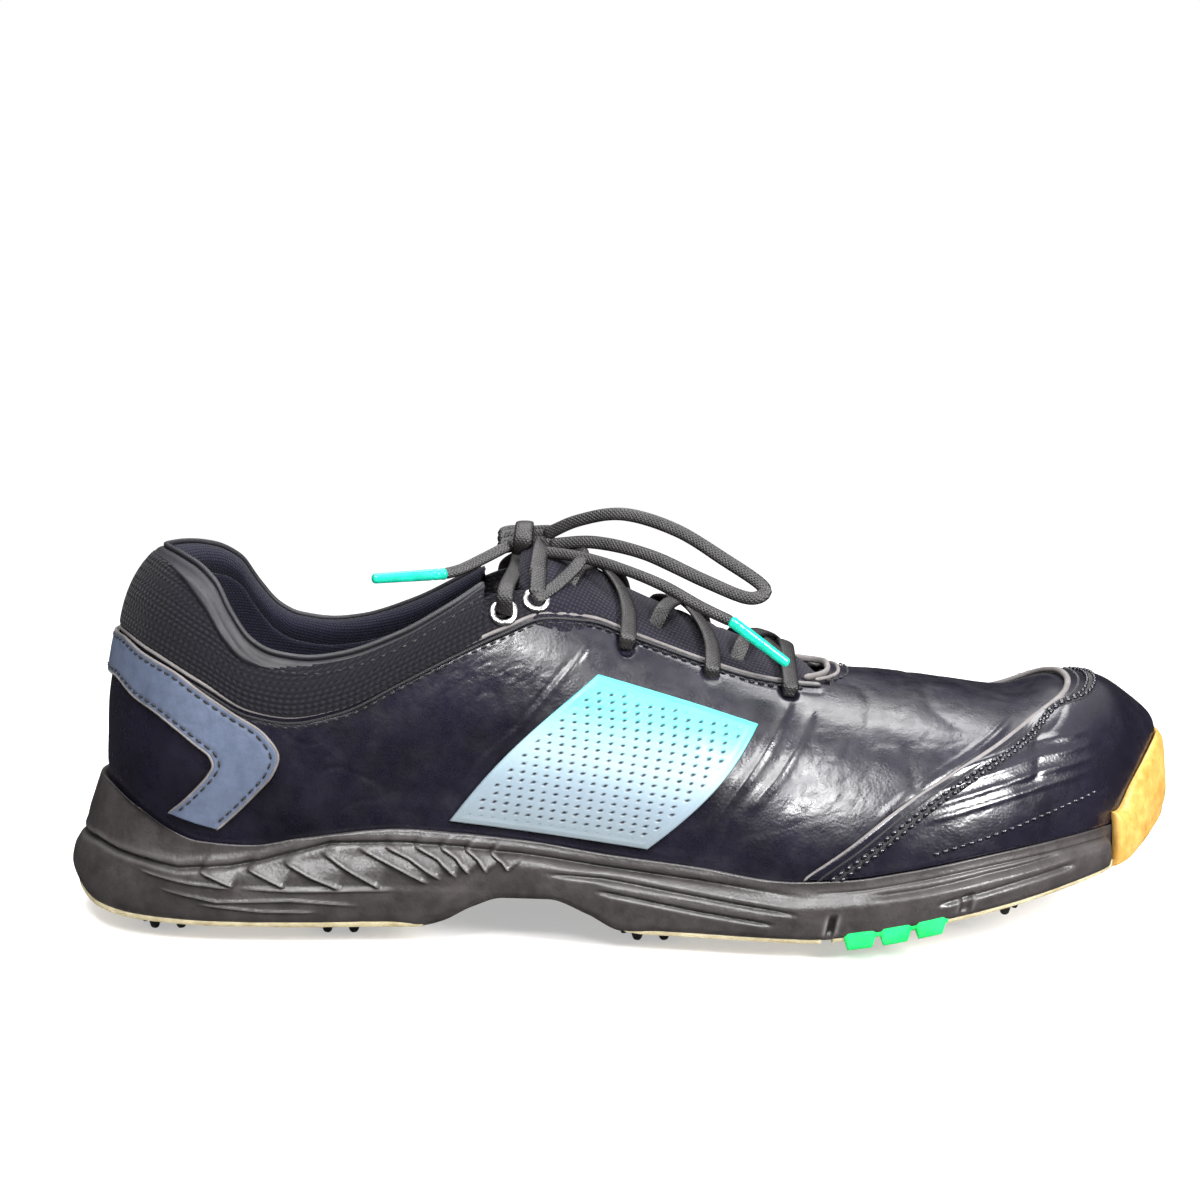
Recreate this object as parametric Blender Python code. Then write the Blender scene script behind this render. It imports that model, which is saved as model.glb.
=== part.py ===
"""A right-foot golf shoe, modelled as the separate pieces it is made of.

+X runs from heel to toe, +Z up, and the ground is z = 0. The outer side of the foot faces -Y.
The functions work in millimetres from the heel, and a mesh is moved to its place in metres when it is made.
"""

import math

import bmesh
import bpy
import numpy as np
from mathutils import Matrix, Vector

MM = 0.001
ORIGIN = (149.9, -2.3, 0.0)  # middle of the sole's length and width, on the ground

LEATHER = 1.3
SKIN_SPACE = 0.6  # clear space between two layers of the upper
OVERLAY = 0.9
LINING = 1.0
PADDING = 5.2
TONGUE = 3.6
BOARD = 1.2
BOARD_INSET = 5.2
COUNTER = 1.2
COUNTER_ROOM = COUNTER + SKIN_SPACE
PUFF = 0.8
PUFF_ROOM = PUFF + SKIN_SPACE + 0.25
SOCKLINER = 3.2
RIM = 1.7  # thickness of the sole's upstanding rim
SIDE_FLARE = 2.6  # how far the foam wall stands out past the rim
HEEL_FLARE = 8.2
HEEL_FLARE_END_X = 38.0
PLATE = 2.6
PLATE_SPACE = 0.4
SEAM = 0.5  # clear space between two pieces that meet edge to edge

FLEX_X = 202.0  # the groove under the ball of the foot
FLEX_HALF_WIDTH = 0.4
ARCH_START_X = 97.0
ARCH_END_X = 150.0
LUG_START_X = 206.0
LUG_END_X = 233.5
LUGS = 3
LUG_DEPTH = 2.2  # how far a lug stands below the plate
POD_WIDTH = 13.0
SHANK_X = (84.0, 166.0)
SHANK_Y = -2.0
SHANK_HALF_WIDTH = 13.0
BUMPER_X = 281.0
BUMPER_STEP = 2.9  # depth of the step that the toe bumper fills

CLEAT_HEIGHT = 4.4
CLEAT_RADIUS = 8.6
CLEAT_LEGS = 6
LEG_CIRCLE = 7.0
SOCKET_RADIUS = 7.0
CLEATS = {
    "heel_lateral_rear": (27, -17),
    "heel_medial_rear": (27, 17),
    "heel_lateral_front": (74, -21),
    "heel_medial_front": (74, 17),
    "ball_lateral": (157, -28),
    "ball_medial": (164, 16),
    "ball_centre": (187, -9),
    "toe_lateral": (248, -24),
    "toe_medial": (247, 24),
    "toe_tip": (273, 8),
}

# Plan of the sole at its widest, clockwise from the heel's tip when seen from above.
OUTLINE = [
    (-2.5, 0), (2.5, -17), (14, -30.5), (34, -39), (60, -41.5), (90, -41), (115, -42), (140, -45),
    (165, -50), (190, -55), (212, -57), (232, -54.5), (250, -48), (266, -38.5), (281, -26.5),
    (294, -12), (301.5, 4), (299, 20), (290, 32), (276, 42), (258, 49.5), (238, 52.5), (215, 50),
    (190, 44), (165, 36.5), (140, 32), (115, 31.5), (90, 34.5), (60, 38.5), (34, 37.5), (14, 29.5),
    (2.5, 16.5),
]  # fmt: skip
# Heights along the shoe, as (x, z).
RIM_TOP = [(-3, 38.5), (8, 38.3), (21, 33.8), (30, 29.6), (38, 27.3), (52, 26.5), (65, 28.5), (91, 30.9),
           (104, 30.1), (123, 28.4), (144, 25.5), (169, 23.2), (192, 20.5), (208, 21.4), (221, 23.2),
           (248, 26.6), (265, 27.6), (303, 29)]  # fmt: skip
FOOTBED = [(-3, 24), (30, 21), (60, 19), (100, 20), (140, 17.5), (192, 13.4), (225, 15), (260, 19),
           (303, 22.5)]  # fmt: skip
SOLE_BOTTOM = [(-3, 9), (8, 5.2), (20, 4.5), (94, 4.5), (102, 6.5), (110, 10.5), (118, 13), (130, 13),
               (140, 9.5), (149, 5.2), (155, 4.5), (196, 4.5), (212, 6.2), (234, 9.6), (250, 11.8),
               (266, 14), (281, 16.1), (303, 20)]  # fmt: skip
LEATHER_TOP = [(5, 79), (14, 78.6), (24, 75.9), (38.5, 69.4), (52, 62.2), (62.7, 60.5), (75.8, 63.1),
               (91.5, 70.6), (104.5, 77), (117.5, 82.6), (129, 86.2), (140, 85), (154, 79.6), (170, 73.5),
               (186, 68.4), (198, 66), (206, 65)]  # fmt: skip
COLLAR_TOP = [(8, 101), (18, 102), (27, 101.6), (35, 99.6), (42, 94.8), (46.5, 87.3), (52, 80.2), (58, 77),
              (67.6, 75.7), (75.6, 76.6), (91.4, 82), (104.4, 89), (117.4, 96.4), (124, 98)]  # fmt: skip
# Ribs of the upper: x of its foot on the outer side, its head on the middle line, and how square it is.
RIBS = [
    (0, (52, 0, 113), 2.4), (20, (56, 0, 113), 2.4), (50, (67, 0, 112.5), 2.4), (80, (86, 0.5, 110.5), 2.4),
    (110, (112, 1, 104.5), 2.35), (133, (134, 1.5, 97), 2.3), (150, (151, 2, 89), 2.1),
    (170, (171, 3, 80.5), 1.95), (190, (190, 3.5, 72.5), 1.95), (206, (206, 4, 67.2), 2.1),
    (225, (225, 5, 64), 2.3), (243, (243, 5, 61.2), 2.5), (257, (257, 5, 59.6), 2.6),
    (270, (269, 5.5, 62.8), 2.6), (280, (280.5, 6, 62), 2.5), (288, (289.5, 6, 57), 2.4),
    (294, (296, 6, 50), 2.2), (300, (297.5, 5.5, 38), 2.0),
]  # fmt: skip
THROAT_X = 206.0
SEAM_FOOT_X = 168.0
BUMPER_TOP = [(278, 29.5), (281, 31.5), (285.5, 38), (294, 46.6), (300, 50.5)]
TOE_SEAM = [(196, 19), (208, 29), (221, 39.1), (234.7, 46.2), (249, 52.1), (264.3, 58.4), (274, 64)]
TOE_END = 0.985  # the last rib: the sheets of the toe leave a slot there, under the bumper
# Side-view lines of the heel overlay, from the back of the heel to its tip and down to the sole.
CHEVRON_OUTER = [(22.4, 75.0), (32, 71.4), (39.8, 66.4), (47.6, 61.4), (55.8, 56.2), (59.6, 50.2), (58, 45.6),
                 (53.9, 40.9), (48, 35), (43, 30.5)]  # fmt: skip
CHEVRON_INNER = [(21, 63), (26.2, 60.8), (32.1, 57.2), (37.7, 53.1), (41.5, 50), (42.3, 47.6), (41, 45),
                 (38, 41.5), (34, 37.4), (30, 34)]  # fmt: skip
CHEVRON_BACK = (77.6, 67.0)
# Side-view corners of the saddle panel: low back, low front, high back, high front.
PANEL = ((104, 33), (156, 27), (143, 71), (185, 58))
LACE_ROWS = (117.8, 126.2, 150.2, 172.7, 194.1)  # two eyelets, then three punched holes
METAL_ROWS = 2  # in the eyestay, a strip that stands out above the leather
EYESTAY_X = (112.6, 144.0)
EYESTAY_HEIGHT = 9.5
EYELET_LIFT = 0.47  # place of an eyelet in the height of the eyestay
EYELET_RADIUS = 3.6
EYELET_WIRE = 0.55
HOLE_RADIUS = 2.5
HOLE_MARGIN = 5.5  # from the edge of the throat to a hole
CORD = 1.25
LACE_RISE = 3.75  # middle of the cord above the leather, so that it clears an eyelet
KNOT = (122.6, 0.0, 102.6)
KNOT_SIZE = (6.0, 7.5, 4.6)
AGLET_RADIUS = 1.5
COLLAR_END_X = 111.3
FOAM_END_X = 104.0


def smooth_function(points):
    """A function through the points that never overshoots them. The values may be numbers or vectors."""
    knots = np.array([p[0] for p in points], float)
    values = np.array([p[1] for p in points], float).reshape(len(points), -1)
    spans = np.diff(knots)[:, None]
    rises = np.diff(values, axis=0) / spans
    slopes = np.zeros_like(values)
    turning = rises[:-1] * rises[1:] <= 0
    total = np.where(turning, 1.0, rises[:-1] + rises[1:])
    slopes[1:-1] = np.where(turning, 0.0, 2 * rises[:-1] * rises[1:] / total)
    slopes[0], slopes[-1] = rises[0], rises[-1]

    def value(x):
        x = np.clip(np.asarray(x, float), knots[0], knots[-1])
        i = np.clip(np.searchsorted(knots, x, side="right") - 1, 0, len(knots) - 2)
        h = spans[i, 0]
        s = ((x - knots[i]) / h)[..., None]
        h = h[..., None]
        found = (
            values[i] * (1 + 2 * s) * (1 - s) ** 2
            + slopes[i] * h * s * (1 - s) ** 2
            + values[i + 1] * s * s * (3 - 2 * s)
            + slopes[i + 1] * h * s * s * (s - 1)
        )
        return found[..., 0] if values.shape[1] == 1 else found

    return value


def smoothstep(x, low, high):
    s = np.clip((np.asarray(x, float) - low) / (high - low), 0, 1)
    return s * s * (3 - 2 * s)


def catmull_rom(a, b, c, d, t):
    """The point at t on the curve from b to c, with a before them and d after them."""
    square = 2 * a - 5 * b + 4 * c - d
    cube = 3 * b - a - 3 * c + d
    return 0.5 * (2 * b + (c - a) * t + square * t**2 + cube * t**3)


def closed_curve(points, steps=16):
    """Points along a smooth closed curve through the given ones."""
    p = np.array(points, float)
    near = (np.roll(p, 1, 0), p, np.roll(p, -1, 0), np.roll(p, -2, 0))
    found = [catmull_rom(*near, t) for t in np.linspace(0, 1, steps, endpoint=False)]
    return np.stack(found, axis=1).reshape(-1, 2)


def half_outlines():
    """The sole's plan as a lateral (-1) and a medial (1) line, both from the heel's tip to the toe's tip."""
    ring = closed_curve(OUTLINE)
    heel, toe = np.argmin(ring[:, 0]), np.argmax(ring[:, 0])
    ring = np.roll(ring, -heel, axis=0)
    toe = (toe - heel) % len(ring)
    lateral = ring[: toe + 1]
    medial = np.vstack([ring[toe:], ring[:1]])[::-1]
    sides = {}
    for side, line in ((-1, lateral), (1, medial)):
        length = np.concatenate([[0], np.cumsum(np.linalg.norm(np.diff(line, axis=0), axis=1))])
        u = np.linspace(0, 1, 400)
        even = np.column_stack([np.interp(u, length / length[-1], line[:, k]) for k in (0, 1)])
        along = np.gradient(even, axis=0)
        along[0], along[-1] = (0, side), (0, -side)
        along /= np.linalg.norm(along, axis=1)[:, None]
        sides[side] = (u, even, np.column_stack([along[:, 1], -along[:, 0]]) * side)
    return sides


HALVES = half_outlines()
rim_top = smooth_function(RIM_TOP)
footbed = smooth_function(FOOTBED)
sole_bottom = smooth_function(SOLE_BOTTOM)
leather_top = smooth_function(LEATHER_TOP)
collar_top = smooth_function(COLLAR_TOP)
toe_seam = smooth_function(TOE_SEAM)


def rim_inset(x):
    """How far the sole's rim stands in from its widest line: the heel flares out, the sides less."""
    return SIDE_FLARE + (HEEL_FLARE - SIDE_FLARE) * smoothstep(-np.asarray(x), -HEEL_FLARE_END_X, 0)


def upper_inset(x):
    return rim_inset(x) + RIM + SKIN_SPACE


def plan_path(side, inset):
    """The outline moved inwards by a constant or by a function of x."""
    u, line, inward = HALVES[side]
    depth = inset(line[:, 0]) if callable(inset) else np.full(len(line), float(inset))
    return u, line + inward * depth[:, None]


def plan_row(side, inset, start, end, fractions):
    """Points along the moved outline from x = start to x = end. None is the heel's or the toe's tip."""
    u, path = plan_path(side, inset)
    first = 0.0 if start is None else np.interp(start, path[:, 0], u)
    last = 1.0 if end is None else np.interp(end, path[:, 0], u)
    at = first + (last - first) * np.asarray(fractions)
    return np.column_stack([np.interp(at, u, path[:, k]) for k in (0, 1)])


def station_of(x):
    """The rib whose foot on the outer side is at x."""
    u, path = plan_path(-1, upper_inset)
    return np.interp(x, path[:, 0], u)


def rib_tables():
    heads, squareness = [], []
    for foot, head, power in RIBS:
        u = 0.0 if foot == 0 else (1.0 if foot == 300 else float(station_of(foot)))
        heads.append((u, head))
        squareness.append((u, power))
    return smooth_function(heads), smooth_function(squareness)


rib_head, rib_squareness = rib_tables()
FEET = {side: plan_path(side, upper_inset) for side in (-1, 1)}


def bulge(u, t):
    """The upper swells a little past its ribs above the sole, most at the heel and the ball."""
    amount = 1.5 + 0.8 * smoothstep(-u, -0.12, 0)
    return amount * np.sin(np.pi * np.clip(t, 0, 1)) ** 2


def skin(side, u, t):
    """A point of the upper's outer surface: t is 0 at the sole and 1 on the middle line."""
    u, t = np.broadcast_arrays(np.clip(u, 0, 1), np.clip(t, 0, 1))
    side = np.broadcast_to(side, u.shape)
    foot = np.zeros(u.shape + (3,))
    for s in (-1, 1):
        here = side == s
        table, path = FEET[s]
        foot[here, 0] = np.interp(u[here], table, path[:, 0])
        foot[here, 1] = np.interp(u[here], table, path[:, 1])
    foot[..., 2] = footbed(foot[..., 0])
    head = rib_head(u)
    power = rib_squareness(u) / 2
    rise = t**power / (t**power + (1 - t) ** power) * math.pi / 2
    up = np.sin(rise) ** (1 / power)
    across = 1 - np.cos(rise) ** (1 / power)
    point = foot + (head - foot) * np.stack([across, across, up], axis=-1)
    outward = foot[..., :2] - head[..., :2]
    outward /= np.linalg.norm(outward, axis=-1)[..., None] + 1e-9
    point[..., :2] += outward * bulge(u, t)[..., None]
    return point


def around(w, t, depth=0.0):
    """The upper by position around the foot: w is -1 and 1 at the toe and 0 at the back of the heel."""
    w, t, depth = np.broadcast_arrays(np.asarray(w, float), np.asarray(t, float), np.asarray(depth, float))

    def at(w, t):
        return skin(np.where(w < 0, -1, 1), np.abs(w), t)

    e = 2e-3
    across = at(w + e, t) - at(w - e, t)
    up = at(w, np.minimum(t + e, 1)) - at(w, np.maximum(t - e, 0))
    normal = np.cross(up, across)
    normal /= np.linalg.norm(normal, axis=-1)[..., None] + 1e-12
    return at(w, t) + normal * depth[..., None]


def over(u, a, depth=0.0):
    """The upper by position across the foot: a is -1 at the outer side's sole, 0 on top and 1 inside."""
    u, a, depth = np.broadcast_arrays(np.asarray(u, float), np.asarray(a, float), np.asarray(depth, float))

    def at(u, a):
        return skin(np.where(a < 0, -1, 1), u, 1 - np.abs(a))

    e = 2e-3
    along = at(np.minimum(u + e, 1), a) - at(np.maximum(u - e, 0), a)
    across = at(u, np.minimum(a + e, 1)) - at(u, np.maximum(a - e, -1))
    normal = np.cross(along, across)
    normal /= np.linalg.norm(normal, axis=-1)[..., None] + 1e-12
    return at(u, a) + normal * depth[..., None]


def crossing(w, edge):
    """Where the rib at w first rises through a line drawn in side view."""
    t = np.linspace(0.02, 1, 300)
    line = around(np.full(len(t), w), t)
    above = line[:, 2] - edge(line[:, 0])
    found = np.nonzero((above[:-1] < 0) & (above[1:] >= 0))[0]
    if not len(found):
        return 1.0
    k = found[0]
    return t[k] + (t[k + 1] - t[k]) * above[k] / (above[k] - above[k + 1])


def height_at(w, z):
    """The t at which the rib at w reaches the height z."""
    return crossing(w, lambda x: np.full(np.shape(x), float(z)))


# ---------------------------------------------------------------- meshes


def clear_scene():
    for obj in list(bpy.data.objects):
        bpy.data.objects.remove(obj)


def collection(name):
    made = bpy.data.collections.new(name)
    bpy.context.scene.collection.children.link(made)
    return made


def material(name, color, roughness, metallic=0.0):
    made = bpy.data.materials.new(name)
    made.use_nodes = True
    shader = made.node_tree.nodes["Principled BSDF"]
    shader.inputs["Base Color"].default_value = (*color, 1)
    shader.inputs["Roughness"].default_value = roughness
    shader.inputs["Metallic"].default_value = metallic
    made.diffuse_color = (*color, 1)
    return made


def face_outwards(bm):
    bmesh.ops.recalc_face_normals(bm, faces=bm.faces)
    if bm.calc_volume(signed=True) < 0:
        bmesh.ops.reverse_faces(bm, faces=bm.faces)


def finish_mesh(name, bm, look, pivot=(0, 0, 0), group=None, smooth=True):
    """Turns a bmesh in millimetres into a placed object whose origin is at the pivot."""
    bmesh.ops.remove_doubles(bm, verts=bm.verts, dist=0.002)
    bmesh.ops.dissolve_degenerate(bm, dist=0.002, edges=bm.edges)
    face_outwards(bm)
    bmesh.ops.translate(bm, verts=bm.verts, vec=-Vector(pivot))
    bmesh.ops.scale(bm, verts=bm.verts, vec=(MM, MM, MM))
    mesh = bpy.data.meshes.new(name)
    bm.to_mesh(mesh)
    bm.free()
    if smooth:
        mesh.shade_smooth()
        mesh.set_sharp_from_angle(angle=math.radians(40))
    mesh.materials.append(look)
    return place(name, mesh, pivot, group)


def place(name, mesh, pivot, group=None):
    made = bpy.data.objects.new(name, mesh)
    made.location = (Vector(pivot) - Vector(ORIGIN)) * MM
    (group or PARTS).objects.link(made)
    return made


def grid_faces(bm, grid, wrap=False):
    rows, columns = len(grid), len(grid[0])
    for r in range(rows if wrap else rows - 1):
        below, above = grid[r], grid[(r + 1) % rows]
        for c in range(columns - 1):
            bm.faces.new((below[c], below[c + 1], above[c + 1], above[c]))


def add_grid(bm, points):
    return [[bm.verts.new(p) for p in row] for row in points]


def shell(name, outer, inner, look, **place_args):
    """A closed skin between two matching grids of points, joined around their border."""
    bm = bmesh.new()
    a, b = add_grid(bm, outer), add_grid(bm, inner)
    grid_faces(bm, a)
    grid_faces(bm, b)
    for end in (0, -1):
        grid_faces(bm, [a[end], b[end]])
        grid_faces(bm, [[row[end] for row in a], [row[end] for row in b]])
    return finish_mesh(name, bm, look, **place_args)


def loft(name, rows, look, **place_args):
    """A solid whose section is the closed ring of rows. Ends that don't close by themselves are capped."""
    bm = bmesh.new()
    grid = add_grid(bm, rows)
    grid_faces(bm, grid, wrap=True)
    for end in (0, -1):
        ring = [row[end] for row in grid]
        width = max((v.co - ring[0].co).length for v in ring)
        flat = max(abs(v.co.y - ring[0].co.y) for v in ring)
        if width > 0.01 and flat > 0.01:
            bm.faces.new(ring)
    return finish_mesh(name, bm, look, **place_args)


def tube(name, points, radius, look, pivot=(0, 0, 0), group=None):
    """A round cord through the points, as a mesh with closed ends."""
    curve = bpy.data.curves.new(name, "CURVE")
    curve.dimensions = "3D"
    curve.bevel_depth = radius * MM
    curve.bevel_resolution = 1
    curve.use_fill_caps = True
    line = curve.splines.new("POLY")
    line.points.add(len(points) - 1)
    for spot, point in zip(line.points, points):
        spot.co = (*((Vector(point) - Vector(pivot)) * MM), 1)
    helper = bpy.data.objects.new(name + "_line", curve)
    CUTTERS.objects.link(helper)
    bpy.context.view_layer.update()
    mesh = bpy.data.meshes.new_from_object(helper.evaluated_get(bpy.context.evaluated_depsgraph_get()))
    bpy.data.objects.remove(helper)
    bm = bmesh.new()
    bm.from_mesh(mesh)
    bmesh.ops.remove_doubles(bm, verts=bm.verts, dist=1e-6)
    face_outwards(bm)
    bm.to_mesh(mesh)
    bm.free()
    mesh.name = name
    mesh.materials.clear()
    mesh.materials.append(look)
    mesh.shade_smooth()
    return place(name, mesh, pivot, group)


def smooth_path(points, steps=6):
    """More points along a smooth curve through the given ones."""
    p = np.array(points, float)
    p = np.vstack([2 * p[0] - p[1], p, 2 * p[-1] - p[-2]])
    found = []
    for a, b, c, d in zip(p, p[1:], p[2:], p[3:]):
        for t in np.linspace(0, 1, steps, endpoint=False):
            found.append(catmull_rom(a, b, c, d, t))
    found.append(p[-2])
    return [tuple(map(float, q)) for q in found]


def boolean(obj, tool, operation):
    change = obj.modifiers.new(operation.lower(), "BOOLEAN")
    change.operation = operation
    change.solver = "EXACT"
    change.object = tool


def hide_tool(obj):
    obj.hide_render = True
    obj.display_type = "WIRE"
    return obj


def bake(obj):
    """Replaces the object's mesh by what its modifiers make of it, and removes their tools."""
    bpy.context.view_layer.update()
    evaluated = obj.evaluated_get(bpy.context.evaluated_depsgraph_get())
    mesh = bpy.data.meshes.new_from_object(evaluated)
    tools = {change.object for change in obj.modifiers}
    obj.modifiers.clear()
    obj.data = mesh
    for tool in tools:
        bpy.data.objects.remove(tool)
    return obj


def cylinder(name, base, top, radius, sides=12, group=None, look=None, pivot=None):
    """A straight round bar between two points."""
    base, top = Vector(base), Vector(top)
    bm = bmesh.new()
    turn = (top - base).to_track_quat("Z", "Y").to_matrix().to_4x4()
    where = Matrix.Translation((base + top) / 2) @ turn
    size = {"radius1": radius, "radius2": radius, "depth": (top - base).length}
    bmesh.ops.create_cone(bm, cap_ends=True, segments=sides, matrix=where, **size)
    return finish_mesh(name, bm, look or LOOKS["lace"], pivot=pivot or tuple(base), group=group)


# ---------------------------------------------------------------- the upper


def leather_edge(w):
    return crossing(w, leather_top)


def collar_edge(w):
    return crossing(w, collar_top)


def lining_top(x):
    """The lining ends a little under the collar's roll and, further forward, at the edge of the throat."""
    under_roll = collar_top(x) - 5.8
    return under_roll + (leather_top(x) - 1.0 - under_roll) * smoothstep(x, 104, 126)


def lining_depth(points):
    """How deep the lining lies: behind the counter at the heel, and behind the padding of the collar."""
    x, z = points[..., 0], points[..., 2]
    heel = COUNTER_ROOM * (1 - smoothstep(x, 74, 92))
    collar = smoothstep(z, leather_top(x) - 27, leather_top(x) - 9) * (1 - smoothstep(x, 94, 114))
    return LEATHER + SKIN_SPACE + heel + (PADDING - heel) * collar


def seam_station(t):
    """The slanted seam between the side leather and the vamp."""
    foot, throat = station_of(SEAM_FOOT_X), station_of(THROAT_X)
    return foot + (throat - foot) * np.minimum(t / leather_edge(-throat), 1)


def rib_scale(w, t):
    """Millimetres along the rib for one unit of t."""
    e = 0.01
    return np.linalg.norm(around(w, t + e) - around(w, t - e), axis=-1) / (2 * e)


def quarter(name, side):
    """Side leather: from the back of the heel to the slanted seam, up to the collar and the throat."""
    start = 0.0018
    columns, rows = 21, 8
    c = np.linspace(0, 1, columns)
    foot = start + (station_of(SEAM_FOOT_X) - start) * c
    top = start + (station_of(THROAT_X) - 0.004 - start) * c
    t_top = np.array([leather_edge(side * u) for u in top])
    v = np.linspace(0, 1, rows)[:, None]
    u = foot + (top - foot) * v
    t = t_top * v
    return shell(name, around(side * u, t, 0), around(side * u, t, -LEATHER), LOOKS["leather"])


def front_sheet(rows, columns, gap):
    """Stations and cross positions covering the front of the foot, from the seam to the toe."""
    a = np.linspace(-1, 1, columns)
    back = seam_station(1 - np.abs(a)) + gap
    v = np.linspace(0, 1, rows)[:, None]
    return back + (TOE_END - back) * v, np.broadcast_to(a, (rows, columns))


def vamp():
    u, a = front_sheet(14, 17, 0.0026)
    return shell("vamp", over(u, a, 0), over(u, a, -LEATHER), LOOKS["leather"], pivot=FLEX_POINT)


def vamp_lining():
    u, a = front_sheet(14, 17, 0.005)
    deep = LEATHER + SKIN_SPACE + PUFF_ROOM * smoothstep(over(u, a)[..., 0], 248, 258)
    return shell(
        "vamp_lining", over(u, a, -deep), over(u, a, -deep - LINING), LOOKS["lining"], pivot=FLEX_POINT
    )


def toe_puff():
    """Stiffener that keeps the toe's shape, between vamp and lining."""
    a = np.linspace(-0.97, 0.97, 17)
    u = np.linspace(station_of(262), TOE_END, 6)[:, None]
    deep = LEATHER + SKIN_SPACE
    return shell("toe_puff", over(u, a, -deep), over(u, a, -deep - PUFF), LOOKS["board"], pivot=FLEX_POINT)


def above_rim(side, stations):
    """The cross position at each station where the upper comes out of the sole's rim."""
    spots = np.linspace(stations[0], stations[-1], 12)
    heights = [float(rim_top(skin(side, u, 0.0)[0])) + 1.2 for u in spots]
    reach = [1 - height_at(side * u, z) for u, z in zip(spots, heights)]
    return np.interp(stations, spots, reach)


def toe_overlay():
    """Overlay around the toe: its edge climbs from the sole at the ball to the top of the toe."""
    share = np.linspace(-1, 1, 21)
    stations = np.linspace(station_of(202), TOE_END, 160)
    reach = {s: above_rim(s, stations) for s in (-1, 1)}
    start = []
    for across in share:
        line = over(stations, across * reach[-1 if across < 0 else 1])
        inside = line[:, 2] < toe_seam(line[:, 0])
        start.append(stations[np.argmax(inside)] if inside.any() else stations[-30])
    v = np.linspace(0, 1, 10)[:, None]
    u = np.array(start) + (TOE_END - np.array(start)) * v
    outer_reach, inner_reach = (np.interp(u, stations, reach[s]) for s in (-1, 1))
    a = share * np.where(share < 0, outer_reach, inner_reach)
    low, high = SKIN_SPACE + 0.25, SKIN_SPACE + 0.25 + OVERLAY
    return shell("toe_overlay", over(u, a, high), over(u, a, low), LOOKS["leather"], pivot=FLEX_POINT)


def heel_counter():
    w = np.linspace(-station_of(70), station_of(70), 21)
    top = np.array([crossing(k, lambda x: leather_top(x) - 19) for k in w])
    t = 0.015 + (top - 0.015) * np.linspace(0, 1, 5)[:, None]
    deep = LEATHER + SKIN_SPACE
    return shell("heel_counter", around(w, t, -deep), around(w, t, -deep - COUNTER), LOOKS["board"])


def quarter_lining():
    """Textile lining in one piece around the heel, from the outer seam to the inner one."""
    c = np.linspace(-1, 1, 41)
    foot, throat = station_of(SEAM_FOOT_X) - 0.003, station_of(THROAT_X) - 0.003
    top = np.array([crossing(k * throat, lining_top) for k in c])
    v = np.linspace(0, 1, 8)[:, None]
    w = c * (foot + (throat - foot) * v)
    t = 0.01 + (top - 0.01) * v
    deep = lining_depth(around(w, t)) + 0.3
    return shell("quarter_lining", around(w, t, -deep), around(w, t, -deep - LINING), LOOKS["lining"])


def collar_outer():
    """Knit collar: rises from the leather's edge, rolls over the padding and ends inside."""
    w = np.linspace(-station_of(COLLAR_END_X), station_of(COLLAR_END_X), 31)
    low = np.array([leather_edge(k) for k in w])
    rim = np.array([collar_edge(k) for k in w])
    scale = rib_scale(w, rim - 0.02)
    low = low + 1.5 * SEAM / scale
    roll = [(-3.6, 0.0), (-1.2, 0.7), (0.0, 2.4), (0.3, 4.0), (0.0, 5.6), (-1.2, 7.3), (-3.6, 8.0)]
    inner_roll = [(-3.6, 1.1), (-2.0, 1.7), (-1.2, 2.8), (-1.0, 4.0), (-1.2, 5.2), (-2.0, 6.3), (-3.6, 6.9)]
    sheets = []
    for path in (roll, inner_roll):
        level = [(1 - k) * low + k * (rim - 3.6 / scale) for k in (0, 0.5)]
        level += [rim + rise / scale for rise, _ in path]
        deep = [path[0][1]] * 2 + [d for _, d in path]
        sheets.append([around(w, t, -d) for t, d in zip(level, deep)])
    return shell("collar_outer", sheets[0], sheets[1], LOOKS["knit"])


def collar_foam():
    w = np.linspace(-station_of(FOAM_END_X), station_of(FOAM_END_X), 27)
    low = np.array([crossing(k, lambda x: leather_top(x) - 15) for k in w])
    rim = np.array([collar_edge(k) for k in w])
    scale = rib_scale(w, rim - 0.02)
    v = (0.0, 0.4, 0.8, 1.0)
    near, far = [], []
    for k in v:
        t = low + (rim - 2.6 / scale - low) * k
        taper = 1.2 * smoothstep(k, 0.8, 1.0)
        outer = LEATHER + SKIN_SPACE + taper
        inner = np.minimum(lining_depth(around(w, t)), 6.9) - SKIN_SPACE - taper
        near.append(around(w, t, -outer))
        far.append(around(w, t, -inner))
    return shell("collar_foam", near, far, LOOKS["foam"])


def locate(side, x, z):
    """The place (u, t) of the side-view point (x, z) on the upper."""
    u = float(station_of(x))
    for _ in range(14):
        t = height_at(side * u, z)
        here = around(side * u, t)[0]
        ahead = around(side * (u + 0.01), height_at(side * (u + 0.01), z))[0]
        u = float(np.clip(u + (x - here) / max(ahead - here, 0.3) * 0.01 * 0.8, 0, 1))
    return u, height_at(side * u, z)


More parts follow.
